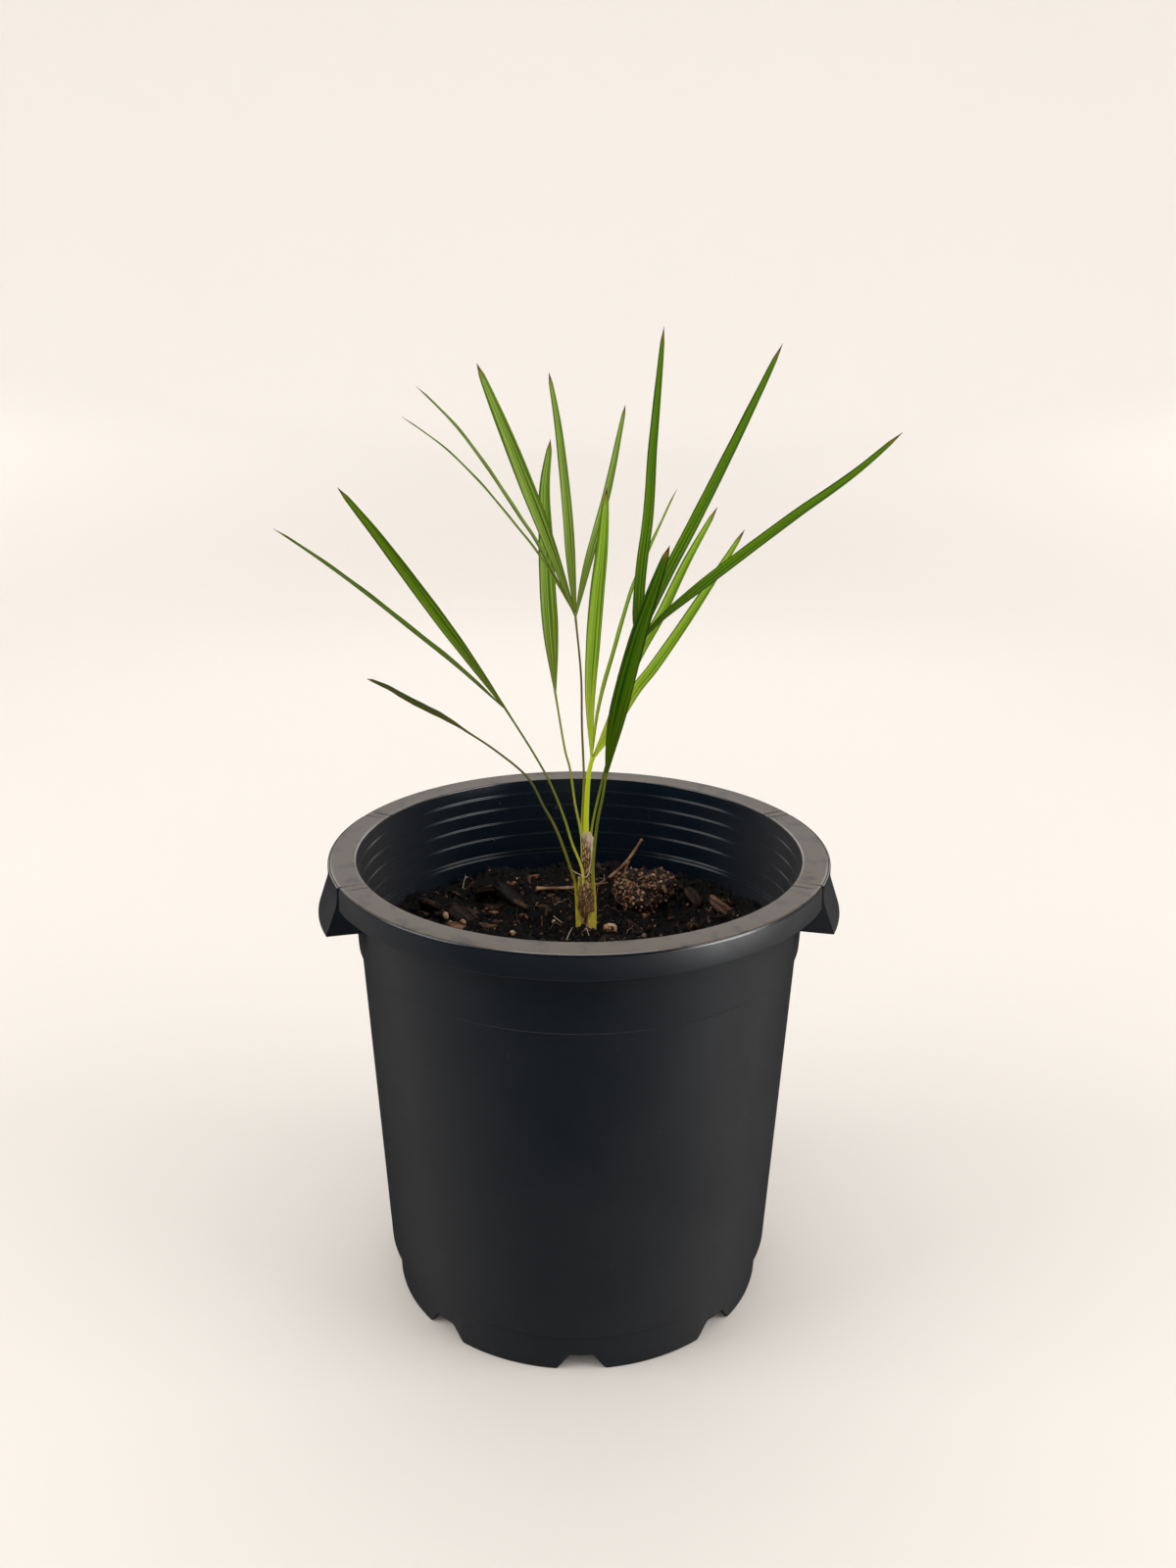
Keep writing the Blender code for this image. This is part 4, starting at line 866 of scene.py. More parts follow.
def litter_colours():
    """Peat, bark, tan wood and pale flecks by the tone each bit carries, with darker streaks."""
    material, tree, shader = finish("mix_litter", 0.62, 0.26)
    here = node(tree, "ShaderNodeTexCoord", {}).outputs["Object"]
    tone = node(tree, "ShaderNodeAttribute", {}, attribute_name="tone").outputs["Fac"]
    streaks = node(tree, "ShaderNodeTexNoise", {"Vector": here, "Scale": 900.0, "Detail": 5.0})
    moved = node(tree, "ShaderNodeMath", {
        0: streaks.outputs["Fac"], 1: 0.34, 2: tone}, operation="MULTIPLY_ADD")
    centred = node(tree, "ShaderNodeMath", {
        0: moved.outputs["Value"], 1: 0.17}, operation="SUBTRACT")
    ramp = node(tree, "ShaderNodeValToRGB", {"Fac": centred.outputs["Value"]})
    steps = ramp.color_ramp.elements
    steps[0].color = (*LITTER_COLOURS[0][1], 1.0)
    steps[1].position, steps[1].color = 1.0, (*LITTER_COLOURS[-1][1], 1.0)
    for place, colour in LITTER_COLOURS[1:-1]:
        steps.new(place).color = (*colour, 1.0)
    tree.links.new(ramp.outputs["Color"], shader.inputs["Base Color"])
    bump = node(tree, "ShaderNodeBump", {
        "Height": streaks.outputs["Fac"], "Strength": 0.8, "Distance": 0.0005})
    tree.links.new(bump.outputs["Normal"], shader.inputs["Normal"])
    return material


LITTER_COLOURS = (
    (0.0, (0.0018, 0.0015, 0.0013)),
    (0.22, (0.0080, 0.0056, 0.0043)),
    (0.42, (0.0620, 0.0290, 0.0160)),
    (0.58, (0.2100, 0.0980, 0.0500)),
    (0.76, (0.4200, 0.2550, 0.1400)),
    (1.0, (0.7000, 0.6000, 0.4600)),
)

CHIP_RINGS = 9
CHIP_SIDES = 14

litter_draw = np.random.default_rng(LITTER_SEED)
crumb_sizes = 0.00032 * litter_draw.lognormal(0.35, 0.60, (CRUMBS, 1)).clip(0.6, 4.6)
crumb_sizes = crumb_sizes * litter_draw.uniform(0.6, 1.3, (CRUMBS, 3))
crumb_tones = np.where(litter_draw.random(CRUMBS) < 0.26, litter_draw.uniform(0.34, 0.62, CRUMBS),
                       litter_draw.uniform(0.0, 0.17, CRUMBS))
pale_sizes = litter_draw.uniform(0.5, 1.3, (PALE_CRUMBS, 3)) * np.array([0.0007, 0.0005, 0.00035])
chip_sizes = litter_draw.uniform(0.5, 1.0, (SMALL_CHIPS, 3)) * np.array([0.0075, 0.0022, 0.0012])
pebbles = np.array(SHOWN_PEBBLES)
pebble_heights = mix_height(pebbles[:, 0], pebbles[:, 1]) + 0.0004
pebble_centres = np.column_stack([pebbles[:, :2], pebble_heights])
pebble_sizes = pebbles[:, 2:3] * litter_draw.uniform(0.55, 1.0, (len(pebbles), 3))
litter = [
    *bark_chips(litter_draw),
    *[torn_chip(litter_draw, *chip) for chip in zip(
        strewn(litter_draw, SMALL_CHIPS, LITTER_REACH), chip_sizes,
        random_turns(litter_draw, SMALL_CHIPS), litter_draw.uniform(0.10, 0.56, SMALL_CHIPS))],
    scattered(litter_draw, ball(3, 6), strewn(litter_draw, CRUMBS, LITTER_REACH), crumb_sizes,
              random_turns(litter_draw, CRUMBS), 0.26, crumb_tones),
    scattered(litter_draw, ball(3, 6), strewn(litter_draw, PALE_CRUMBS, LITTER_REACH), pale_sizes,
              random_turns(litter_draw, PALE_CRUMBS), 0.25,
              litter_draw.uniform(0.62, 0.92, PALE_CRUMBS)),
    scattered(litter_draw, slab(8, 14, 0.8), pebble_centres, pebble_sizes,
              random_turns(litter_draw, len(pebbles)), 0.16, pebbles[:, 3]),
    *fine_roots(litter_draw, STRANDS, (0.0025, 0.0075), (0.00010, 0.00028), (0.24, 0.64)),
    *fine_roots(litter_draw, ROOTS, (0.006, 0.015), (0.00007, 0.00013), (0.66, 0.90)),
    *[shown_root(points) for points in SHOWN_ROOTS],
]
litter_finish = litter_colours()
dress("mix_litter", litter, litter_finish, ("tone",))


# Peat clod
# A lump of fibrous peat that holds together, behind the stem at right, with crumbs stuck to it
# and a few short bits of root.

CLOD_CENTRE = np.array([0.0265, 0.0405, 0.1560])
CLOD_HALF_SIZES = np.array([0.0122, 0.0100, 0.0075])
CLOD_SEED = 5
CLOD_CRUMBS = 1100
CLOD_ROOTS = 5
CLOD_KNOBS = ((2.4, 0.00130), (5.0, 0.00080), (11.0, 0.00045), (24.0, 0.00028))


def lump(way, centre, half_sizes):
    """A rough round lump: its surface in each of the given directions."""
    rough = 1.0 + 0.07 * np.sin(5.0 * way[..., :1] + 2.0) * np.cos(6.0 * way[..., 1:2])
    rough = rough + 0.05 * np.sin(9.0 * way[..., 2:] + 4.0 * way[..., :1])
    return centre + way * half_sizes * rough


def knobbly(draw, way, waves):
    """Adds up sine waves in random directions through space, each kind by number and size."""
    height = 0.0 * way[..., :1]
    for number, size in waves:
        for push in draw.normal(0.0, number, (8, 3)):
            swing = (way * push).sum(axis=-1, keepdims=True)
            height = height + size / 2.0 * np.sin(swing + draw.uniform(0.0, math.tau))
    return height


def clod_skin(way):
    """The clod's knobbly surface in each of the given directions."""
    knobs = knobbly(np.random.default_rng(CLOD_SEED), way, CLOD_KNOBS)
    return lump(way, CLOD_CENTRE, CLOD_HALF_SIZES) + way * knobs


clod_draw = np.random.default_rng(CLOD_SEED)
clod_points = clod_skin(ball(80, 130))
clod_points = np.concatenate([clod_points, 0.20 + 0.0 * clod_points[..., :1]], axis=-1)
crumb_way = unit(clod_draw.normal(size=(CLOD_CRUMBS, 3)))
clod_shells = [
    shell(clod_points),
    scattered(clod_draw, ball(3, 6), clod_skin(crumb_way),
              clod_draw.uniform(0.0003, 0.0010, (CLOD_CRUMBS, 3)),
              random_turns(clod_draw, CLOD_CRUMBS), 0.26,
              np.where(clod_draw.random(CLOD_CRUMBS) < 0.08, 0.76,
                       clod_draw.uniform(0.28, 0.66, CLOD_CRUMBS))),
]
for root_way in unit(clod_draw.normal(size=(CLOD_ROOTS, 3)) + np.array([0.0, -0.5, 1.2])):
    root_side = unit(np.cross(root_way, clod_draw.normal(size=3)))
    root_run = np.linspace(-0.35, 0.35, 9)[:, None]
    root_route = lump(unit(root_way + root_run * root_side), CLOD_CENTRE, CLOD_HALF_SIZES * 1.04)
    clod_shells.append(shell(tube(root_route, clod_draw.uniform(0.00008, 0.0002), 5, 0.62)))
dress("clod_of_peat", clod_shells, litter_finish, ("tone",), instead_of="peat_clod")


# Bark nugget
# A pale ear-shaped scrap of bark in front of the stem, with a groove curling round its face.

NUGGET_CENTRE = np.array([0.0128, 0.0100, 0.1515])
NUGGET_HALF_SIZES = np.array([0.0028, 0.0020, 0.0019])

nugget_way = ball(40, 60)
nugget_curl = np.hypot(nugget_way[..., :1] - 0.15, nugget_way[..., 2:] - 0.25) - 0.42
nugget_groove = 0.16 * np.exp(-(nugget_curl / 0.12) ** 2)
nugget_points = lump(nugget_way, NUGGET_CENTRE, NUGGET_HALF_SIZES * (1.06 - nugget_groove))
# Painted shade and light: the tone is painted darker in the groove and lighter towards the nugget's top and
# its right side.
nugget_tone_and_shade = 0.70 + 0.10 * (nugget_way[..., :1] + nugget_way[..., 2:]) - 1.2 * nugget_groove
nugget_points = np.concatenate([nugget_points, nugget_tone_and_shade], axis=-1)
dress("ear_nugget", [shell(nugget_points)], litter_finish, ("tone",),
      instead_of="bark_nugget")


# Stick and forked twig
# A straight dry stick that lies behind the stem, and a dead twig with a short prong that leans
# out of the mix behind the clod. Both are brown, ridged along their length and broken off.

STICK_ROUTE = ((-0.0195, 0.0490, 0.1528), (-0.0030, 0.0520, 0.1522), (0.0125, 0.0555, 0.1530))
STICK_RADII = (0.0008, 0.00048)
TWIG_ROUTE = (
    (0.0078, 0.0600, 0.1500),
    (0.0140, 0.0625, 0.1535),
    (0.0215, 0.0655, 0.1600),
    (0.0280, 0.0690, 0.1690),
)
TWIG_RADII = (0.00070, 0.00062)
PRONG_ROUTE = ((0.0222, 0.0656, 0.1610), (0.0212, 0.0648, 0.1578), (0.0200, 0.0640, 0.1545))
PRONG_RADII = (0.00066, 0.00042)


def dry_stem(route, radii, seed):
    """A ridged, slightly knotty tube along a route, its radius running between the two given."""
    draw = np.random.default_rng(seed)
    line = smooth_route(route, 70)
    share = np.linspace(0.0, 1.0, len(line))
    knots = 1.0 + 0.10 * np.sin(31.0 * share + seed) + 0.06 * np.sin(77.0 * share)
    rings = tube(line, (radii[0] + (radii[1] - radii[0]) * share) * knots, 16, 0.62)
    out = rings[..., :3] - line[:, None]
    ridges = 1.0 + 0.10 * np.sin(5.0 * np.arange(16) * math.tau / 16 + 6.0 * share[:, None])
    ridges = ridges + draw.uniform(-0.06, 0.06, ridges.shape)
    rings[..., :3] = line[:, None] + out * ridges[..., None]
    rings[..., 3] = 0.60 + 0.10 * np.sin(17.0 * share + seed)[:, None]
    return shell(rings)


dress("dry_stick", [dry_stem(STICK_ROUTE, STICK_RADII, 1)], litter_finish,
      ("tone",), instead_of="stick")
dress("twig_with_prong", [dry_stem(TWIG_ROUTE, TWIG_RADII, 2), dry_stem(PRONG_ROUTE, PRONG_RADII, 3)],
      litter_finish, ("tone",), instead_of="forked_twig")


# Stem base
# The short stem: leaf bases packed into an oval bundle, tan and ribbed, wrapped in brown fibres
# that fray out of it near the mix.

CROWN_X = 0.0030
CROWN_Y = 0.0139
CROWN_BOTTOM = 0.1185
CROWN_TOP = 0.1725
CROWN_SECTION = (
    (0.0003, 0.1725),
    (0.0028, 0.1724),
    (0.0034, 0.1675),
    (0.0036, 0.1560),
    (0.0036, 0.1450),
    (0.0030, 0.1280),
    (0.0014, 0.1185),
)
CROWN_DEPTH_RATIO = 1.40
STEM_FIBRES = 44
STEM_SEED = 23


def stem_points():
    """The stem's skin: its section turned, stretched front to back and pressed into ribs that
    wander a little on their way up.
    """
    section = smooth_route(CROWN_SECTION, 110)
    turn = np.linspace(0.0, math.tau, 96, endpoint=False)[None, :]
    height = section[:, 1:]
    ribs = 0.045 * np.sin(9.0 * turn + 2.0 * np.sin(260.0 * height))
    ribs = ribs + 0.030 * np.sin(23.0 * turn - 1.5 * np.sin(410.0 * height))
    ribs = ribs + 0.030 * np.sin(900.0 * height + 3.0 * turn) * (height < 0.166)
    radius = section[:, :1] * (1.0 + ribs)
    # Painted shade: the tone is painted lighter where the ribs stand out and darker in the grooves between
    # them. It also grows darker towards the bottom.
    tone = 0.60 + 2.6 * ribs + 7.0 * (height - 0.158)
    return np.stack([
        CROWN_X + radius * np.cos(turn),
        CROWN_Y + CROWN_DEPTH_RATIO * radius * np.sin(turn),
        height + 0.0 * turn,
        tone,
    ], axis=-1)


def frayed_fibres(draw, count):
    """Brown fibres that start on the stem's side and run round and up it or fray outwards."""
    fibres = []
    for start in draw.uniform(0.0, math.tau, count):
        share = np.linspace(0.0, 1.0, 14)
        turn = start + draw.normal(0.0, 0.9) * share
        spread = 1.02 + draw.gamma(1.2, 0.22) * share ** 2
        radius = 0.0037 * spread
        low, climb = draw.uniform(0.1490, 0.1600), draw.uniform(0.004, 0.013)
        height = low + climb * share + 0.0005 * np.sin(9.0 * share + start)
        route = np.stack([
            CROWN_X + radius * np.cos(turn),
            CROWN_Y + CROWN_DEPTH_RATIO * radius * np.sin(turn),
            height,
        ], axis=-1)
        thickness = draw.uniform(0.00007, 0.00016) * (1.0 - 0.5 * share)
        fibres.append(shell(tube(route, thickness, 5, draw.uniform(0.40, 0.66))))
    return fibres


stem_draw = np.random.default_rng(STEM_SEED)
dress("fibrous_stem", [shell(stem_points()), *frayed_fibres(stem_draw, STEM_FIBRES)],
      litter_finish, ("tone",), instead_of="stem_base")


# Dry sheath
# The papery, netted remains of a leaf base, standing round the front of the stalks. Its edges
# have torn and curled away, white where they catch the light.

SHEATH_CENTRE = (0.0031, 0.0128)
SHEATH_HALF_WIDTH = 0.0025
SHEATH_HALF_DEPTH = 0.0022
SHEATH_FOOT = 0.1590
SHEATH_TOP = 0.1935
SHEATH_EDGE_DROP = 0.0022
SHEATH_SPREAD = math.radians(66)
SHEATH_THICKNESS = 0.00025
TORN_RIM = (
    (-0.0031, 0.0078, 0.1785),
    (-0.0014, 0.0078, 0.1773),
    (0.0002, 0.0078, 0.1765),
    (0.0017, 0.0079, 0.1757),
    (0.0028, 0.0084, 0.1752),
    (0.0037, 0.0090, 0.1764),
    (0.0044, 0.0094, 0.1792),
    (0.0048, 0.0095, 0.1831),
    (0.0049, 0.0097, 0.1875),
)
TORN_LOOP = (
    (0.0039, 0.0084, 0.1747),
    (0.0044, 0.0082, 0.1717),
    (0.0043, 0.0082, 0.1690),
    (0.0031, 0.0082, 0.1666),
    (0.0017, 0.0083, 0.1648),
    (0.0005, 0.0085, 0.1628),
)


def sheet(middle, thickness):
    """A grid of a sheet's middle surface made into loops with a front and a back."""
    along = np.gradient(middle[..., :3], axis=0)
    across = np.gradient(middle[..., :3], axis=1)
    out = unit(np.cross(along, across)) * np.asarray(thickness)[..., None] / 2.0
    front, back = middle.copy(), middle.copy()
    front[..., :3] += out
    back[..., :3] -= out
    return np.concatenate([front, back[:, ::-1]], axis=1)


def sheath_points():
    """A half sleeve that stands round the stalks and widens over the stem below them. Its top
    is torn to points and its surface rumpled.
    """
    side = np.linspace(-1.0, 1.0, 49)[None, :]
    rise = np.linspace(0.0, 1.0, 90)[:, None]
    tear = 0.0009 * np.sin(9.0 * side) + 0.0006 * np.sin(23.0 * side + 1.0)
    tear = tear + 0.0004 * np.sin(57.0 * side)
    top = SHEATH_TOP - SHEATH_EDGE_DROP * side ** 2 - tear
    height = SHEATH_FOOT + (top - SHEATH_FOOT) * rise
    over_stem = 1.0 - smooth_step((height - 0.1660) / 0.0110)
    rumple = 0.05 * np.sin(900.0 * height + 5.0 * side) + 0.05 * np.sin(7.0 * side + 400.0 * height)
    reach = 1.0 + rumple * (0.3 + rise)
    angle = side * SHEATH_SPREAD
    return np.stack([
        SHEATH_CENTRE[0] + (SHEATH_HALF_WIDTH + 0.0013 * over_stem) * reach * np.sin(angle),
        SHEATH_CENTRE[1] - (SHEATH_HALF_DEPTH + 0.0019 * over_stem) * reach * np.cos(angle),
        height,
        rise + 0.12 * side,
    ], axis=-1)


def papery_sheath():
    """Dry cream paper with a net of tan fibres, browner towards its foot, painted pale at its top as a
    painted highlight.
    """
    material, tree, shader = finish("papery_sheath", 0.80, 0.25)
    here = node(tree, "ShaderNodeTexCoord", {}).outputs["Object"]
    rise = node(tree, "ShaderNodeAttribute", {}, attribute_name="rise").outputs["Fac"]
    drawn = node(tree, "ShaderNodeMapping", {"Vector": here, "Scale": (1.0, 1.0, 0.30)})
    net = node(tree, "ShaderNodeTexVoronoi", {
        "Vector": drawn.outputs["Vector"], "Scale": 1200.0}, feature="DISTANCE_TO_EDGE")
    threads = node(tree, "ShaderNodeMapRange", {
        "Value": net.outputs["Distance"], "From Min": 0.06, "From Max": 0.30})
    colour = blend(tree, threads.outputs["Result"], (0.070, 0.032, 0.012), (0.600, 0.410, 0.200))
    foot = node(tree, "ShaderNodeMapRange", {"Value": rise, "From Max": 0.55, "To Min": 0.65, "To Max": 0.0})
    colour = blend(tree, foot.outputs["Result"], colour, (0.130, 0.060, 0.024))
    # Painted highlight: the sheath's torn top and the thread along its rim are painted pale, standing in for
    # the light they catch.
    pale = node(tree, "ShaderNodeMapRange", {
        "Value": rise, "From Min": 0.80, "From Max": 1.05, "To Max": 0.80})
    colour = blend(tree, pale.outputs["Result"], colour, (0.780, 0.620, 0.470))
    tree.links.new(colour, shader.inputs["Base Color"])
    bump = node(tree, "ShaderNodeBump", {
        "Height": threads.outputs["Result"], "Strength": 0.5, "Distance": 0.0001})
    tree.links.new(bump.outputs["Normal"], shader.inputs["Normal"])
    return material


sheath_shells = [
    shell(sheet(sheath_points(), SHEATH_THICKNESS)),
    shell(tube(smooth_route(TORN_RIM, 60), np.linspace(0.00014, 0.00020, 60), 8, 1.3)),
    shell(tube(smooth_route(TORN_LOOP, 50), np.linspace(0.00024, 0.00034, 50), 8, 0.66)),
]
dress("torn_sheath", sheath_shells, papery_sheath(), ("rise",),
      instead_of="dry_sheath")


# Leaves
# Seven leaves. Each has a thin grooved stalk and one to five folded segments, ribbed along
# their length, with thin dark edges and a dry brown point. Every leaf has greens of its own age.

BLADE_FOLD = 0.20
BLADE_ROOT = 0.0016
BLADE_ROOT_WIDTH = 0.0009
BLADE_TIP_WIDTH = 0.0008
STALK_SLIMNESS = 0.66
BLADE_ROWS = 150
BLADE_SIDES = 23
BLADE_MIDDLE_THICKNESS = 0.00050
BLADE_EDGE_THICKNESS = 0.00016
POINT_SHARE = 0.045
STALK_ROWS = 110
STALK_SIDES = 16
PLEATS = 2.0


def blade_width(share, widest, widest_at):
    """Width of a segment: it swells from its root, stays broad, then narrows to a point."""
    swell = np.sin(np.clip(math.pi / 2 * share / widest_at, 0.0, math.pi / 2)) ** 1.1
    past = np.clip((share - widest_at) / (1.0 - widest_at), 0.0, 1.0)
    narrowing = np.maximum(np.cos(math.pi / 2 * past), 0.0) ** 0.62
    growing = BLADE_ROOT_WIDTH + (widest - BLADE_ROOT_WIDTH) * swell
    fading = BLADE_TIP_WIDTH + (widest - BLADE_TIP_WIDTH) * narrowing
    to_point = np.clip((1.0 - share) / POINT_SHARE, 0.02, 1.0) ** 0.7
    return np.where(share < widest_at, growing, fading) * to_point


def blade(root, segment, upper_side):
    """One segment: a strip folded along its midrib, pleated, with a keel under its middle."""
    route = smooth_route((root, *segment["route"]), BLADE_ROWS)
    ahead = unit(np.gradient(route, axis=0))
    across = unit(np.cross(ahead, np.array(upper_side)))
    lift = np.cross(across, ahead)
    run = np.cumsum(np.linalg.norm(np.diff(route, axis=0, prepend=route[:1]), axis=1))
    share = (run / run[-1])[:, None]
    side = np.linspace(-1.0, 1.0, BLADE_SIDES)[None, :]
    width = blade_width(share, segment["width"], segment["widest_at"])
    crease = np.sqrt(side ** 2 + 0.006)
    pleat = 0.026 * np.cos(PLEATS * math.tau * side) * (1.0 - side ** 2)
    rise = width * (BLADE_FOLD * crease + pleat)
    ripple = 0.00006 * np.sin(38.0 * share + 3.0 * side) * side ** 2
    middle = route[:, None] + across[:, None] * (side * width / 2.0)[..., None]
    middle = middle + lift[:, None] * (rise + ripple)[..., None]
    tone = np.full((BLADE_ROWS, BLADE_SIDES, 1), segment.get("tone", 0.0))
    along = np.broadcast_to(share, (BLADE_ROWS, BLADE_SIDES))[..., None]
    across_share = np.broadcast_to(side, (BLADE_ROWS, BLADE_SIDES))[..., None]
    thickness = BLADE_EDGE_THICKNESS + (BLADE_MIDDLE_THICKNESS - BLADE_EDGE_THICKNESS) * (
        0.55 * (1.0 - side ** 2) + 0.45 * np.exp(-(side / 0.12) ** 2))
    thickness = thickness * np.clip(width / 0.0028, 0.25, 1.0)
    return shell(sheet(np.concatenate([middle, along, across_share, tone], axis=-1), thickness))


def stalk(leaf):
    """The stalk: a slim tube, flattened and grooved on its upper side. It carries -1 at its foot
    and 0 at its top as its place along.
    """
    route = smooth_route(leaf["stalk"], STALK_ROWS)
    share = np.linspace(0.0, 1.0, STALK_ROWS)
    foot_radius, tip_radius = leaf["radii"]
    radius = STALK_SLIMNESS * (foot_radius + (tip_radius - foot_radius) * share)
    radius = radius * (1.0 + 0.25 * smooth_step((share - 0.94) / 0.06))
    rings = tube(route, radius, STALK_SIDES)
    out = rings[..., :3] - route[:, None]
    upper = unit(np.array(leaf["upper_side"]))
    facing = (unit(out) * upper).sum(axis=-1, keepdims=True)
    rings[..., :3] = route[:, None] + out * (1.0 - 0.30 * smooth_step(facing))
    along = np.broadcast_to(share[:, None, None] - 1.0, (*rings.shape[:2], 1))
    return shell(np.concatenate([rings[..., :3], along, 0.0 * along, 0.0 * along], axis=-1))


def clasping(turn_low, turn_high, half_low, top):
    """The sheath at a stalk's foot: a sheet wrapped round the stem, wide at the mix, that
    narrows into the stalk at its top. The turns are angles round the stem in degrees.
    """
    side = np.linspace(-1.0, 1.0, 17)[None, :]
    rise = np.linspace(0.0, 1.0, 44)[:, None]
    half = half_low + (CLASP_HALF_TOP - half_low) * smooth_step(rise)
    turn = np.radians(turn_low + (turn_high - turn_low) * rise + half * side)
    height = CLASP_FOOT + (top - CLASP_FOOT) * rise + 0.0 * side
    radius = 0.0040 - 0.0005 * rise - 0.0004 * side ** 2
    return np.stack([
        CROWN_X + radius * np.cos(turn),
        CROWN_Y + CROWN_DEPTH_RATIO * radius * np.sin(turn),
        height,
        -1.0 + 0.15 * rise + 0.0 * side,
        side + 0.0 * rise,
        0.0 * height,
    ], axis=-1)


CLASP_FOOT = 0.1470
CLASP_THICKNESS = 0.00045
CLASP_HALF_TOP = 11.0


def leaf_shells(leaf):
    """All of one leaf: its stalk, and its segments from a root a little inside the stalk."""
    top = np.array(leaf["stalk"][-1])
    below = smooth_route(leaf["stalk"], 12)[-2]
    root = top - unit(top - below) * BLADE_ROOT
    shells = [stalk(leaf)]
    if "clasp" in leaf:
        shells.append(shell(sheet(clasping(*leaf["clasp"]), CLASP_THICKNESS)))
    for segment in leaf["segments"]:
        shells.append(blade(root, segment, segment.get("upper_side", leaf["upper_side"])))
    return shells


def leaf_green(name, deep, bright, young, stalk_green, foot, gloss):
    """Leaf skin: lengthwise veins between a deep and a bright green, a bright midrib, thin dark edges and a
    dry brown point, with the bright green painted along the pleats' ridges as a painted highlight. It is
    younger near its root, and its stalk pales to its foot.
    """
    material, tree, shader = finish(name, gloss, 0.11)
    along = node(tree, "ShaderNodeAttribute", {}, attribute_name="along").outputs["Fac"]
    across = node(tree, "ShaderNodeAttribute", {}, attribute_name="across").outputs["Fac"]
    tone = node(tree, "ShaderNodeAttribute", {}, attribute_name="tone").outputs["Fac"]
    here = node(tree, "ShaderNodeTexCoord", {}).outputs["Object"]

    def ramp(value, low, high, first=0.0, last=1.0):
        """A share that runs from first to last while the value runs from low to high."""
        return node(tree, "ShaderNodeMapRange", {
            "Value": value, "From Min": low, "From Max": high,
            "To Min": first, "To Max": last}, interpolation_type="SMOOTHSTEP").outputs["Result"]

    def veins(fineness, stretch, detail):
        """Noise drawn out along the leaf."""
        place = node(tree, "ShaderNodeCombineXYZ", {"X": across, "Y": along, "Z": tone})
        drawn = node(tree, "ShaderNodeMapping", {
            "Vector": place.outputs["Vector"], "Scale": (fineness, stretch, 5.0)})
        return node(tree, "ShaderNodeTexNoise", {
            "Vector": drawn.outputs["Vector"], "Scale": 1.0, "Detail": detail}).outputs["Fac"]

    broad_veins = ramp(veins(3.2, 0.9, 2.0), 0.40, 0.60)
    fine_veins = veins(17.0, 1.4, 2.0)
    lit = node(tree, "ShaderNodeMath", {0: tone, 1: 0.5, 2: broad_veins}, operation="MULTIPLY_ADD")
    colour = blend(tree, node(tree, "ShaderNodeClamp", {"Value": lit.outputs["Value"]}).outputs[0],
                   deep, bright)
    colour = blend(tree, ramp(along, 0.02, 0.42, 1.0, 0.0), colour, young)
    # Painted highlight: the ridges of the pleats are painted towards the bright green.
    swing = node(tree, "ShaderNodeMath", {
        0: across, 1: PLEATS * math.tau}, operation="MULTIPLY").outputs["Value"]
    ribs = node(tree, "ShaderNodeMath", {0: swing}, operation="COSINE").outputs["Value"]
    colour = blend(tree, ramp(ribs, 0.55, 1.0, 0.0, 0.45), colour, bright)
    colour = blend(tree, ramp(fine_veins, 0.42, 0.60, 0.0, 0.60), colour, deep)
    from_middle = node(tree, "ShaderNodeMath", {0: across}, operation="ABSOLUTE").outputs["Value"]
    colour = blend(tree, ramp(from_middle, 0.02, 0.10, 0.6, 0.0), colour, bright)
    colour = blend(tree, ramp(from_middle, 0.88, 0.98, 0.0, 0.85), colour, EDGE_BROWN)
    mottle = node(tree, "ShaderNodeTexNoise", {"Vector": here, "Scale": 420.0, "Detail": 3.0})
    worn = node(tree, "ShaderNodeMath", {
        0: mottle.outputs["Fac"], 1: 0.035, 2: along}, operation="MULTIPLY_ADD").outputs["Value"]
    colour = blend(tree, ramp(worn, 0.945, 0.995, 0.0, 0.8), colour, YELLOWED)
    colour = blend(tree, ramp(worn, 0.985, 1.002), colour, POINT_BROWN)
    stem = blend(tree, ramp(along, -0.98, -0.30), foot, stalk_green)
    stem = blend(tree, ramp(fine_veins, 0.42, 0.60, 0.0, 0.4), stem, stalk_green)
    colour = blend(tree, ramp(along, -0.02, 0.0), stem, colour)
    tree.links.new(colour, shader.inputs["Base Color"])
    bump = node(tree, "ShaderNodeBump", {
        "Height": fine_veins, "Strength": 0.30, "Distance": 0.00012})
    tree.links.new(bump.outputs["Normal"], shader.inputs["Normal"])
    return material


EDGE_BROWN = (0.045, 0.026, 0.010)
YELLOWED = (0.170, 0.110, 0.020)
POINT_BROWN = (0.085, 0.030, 0.014)

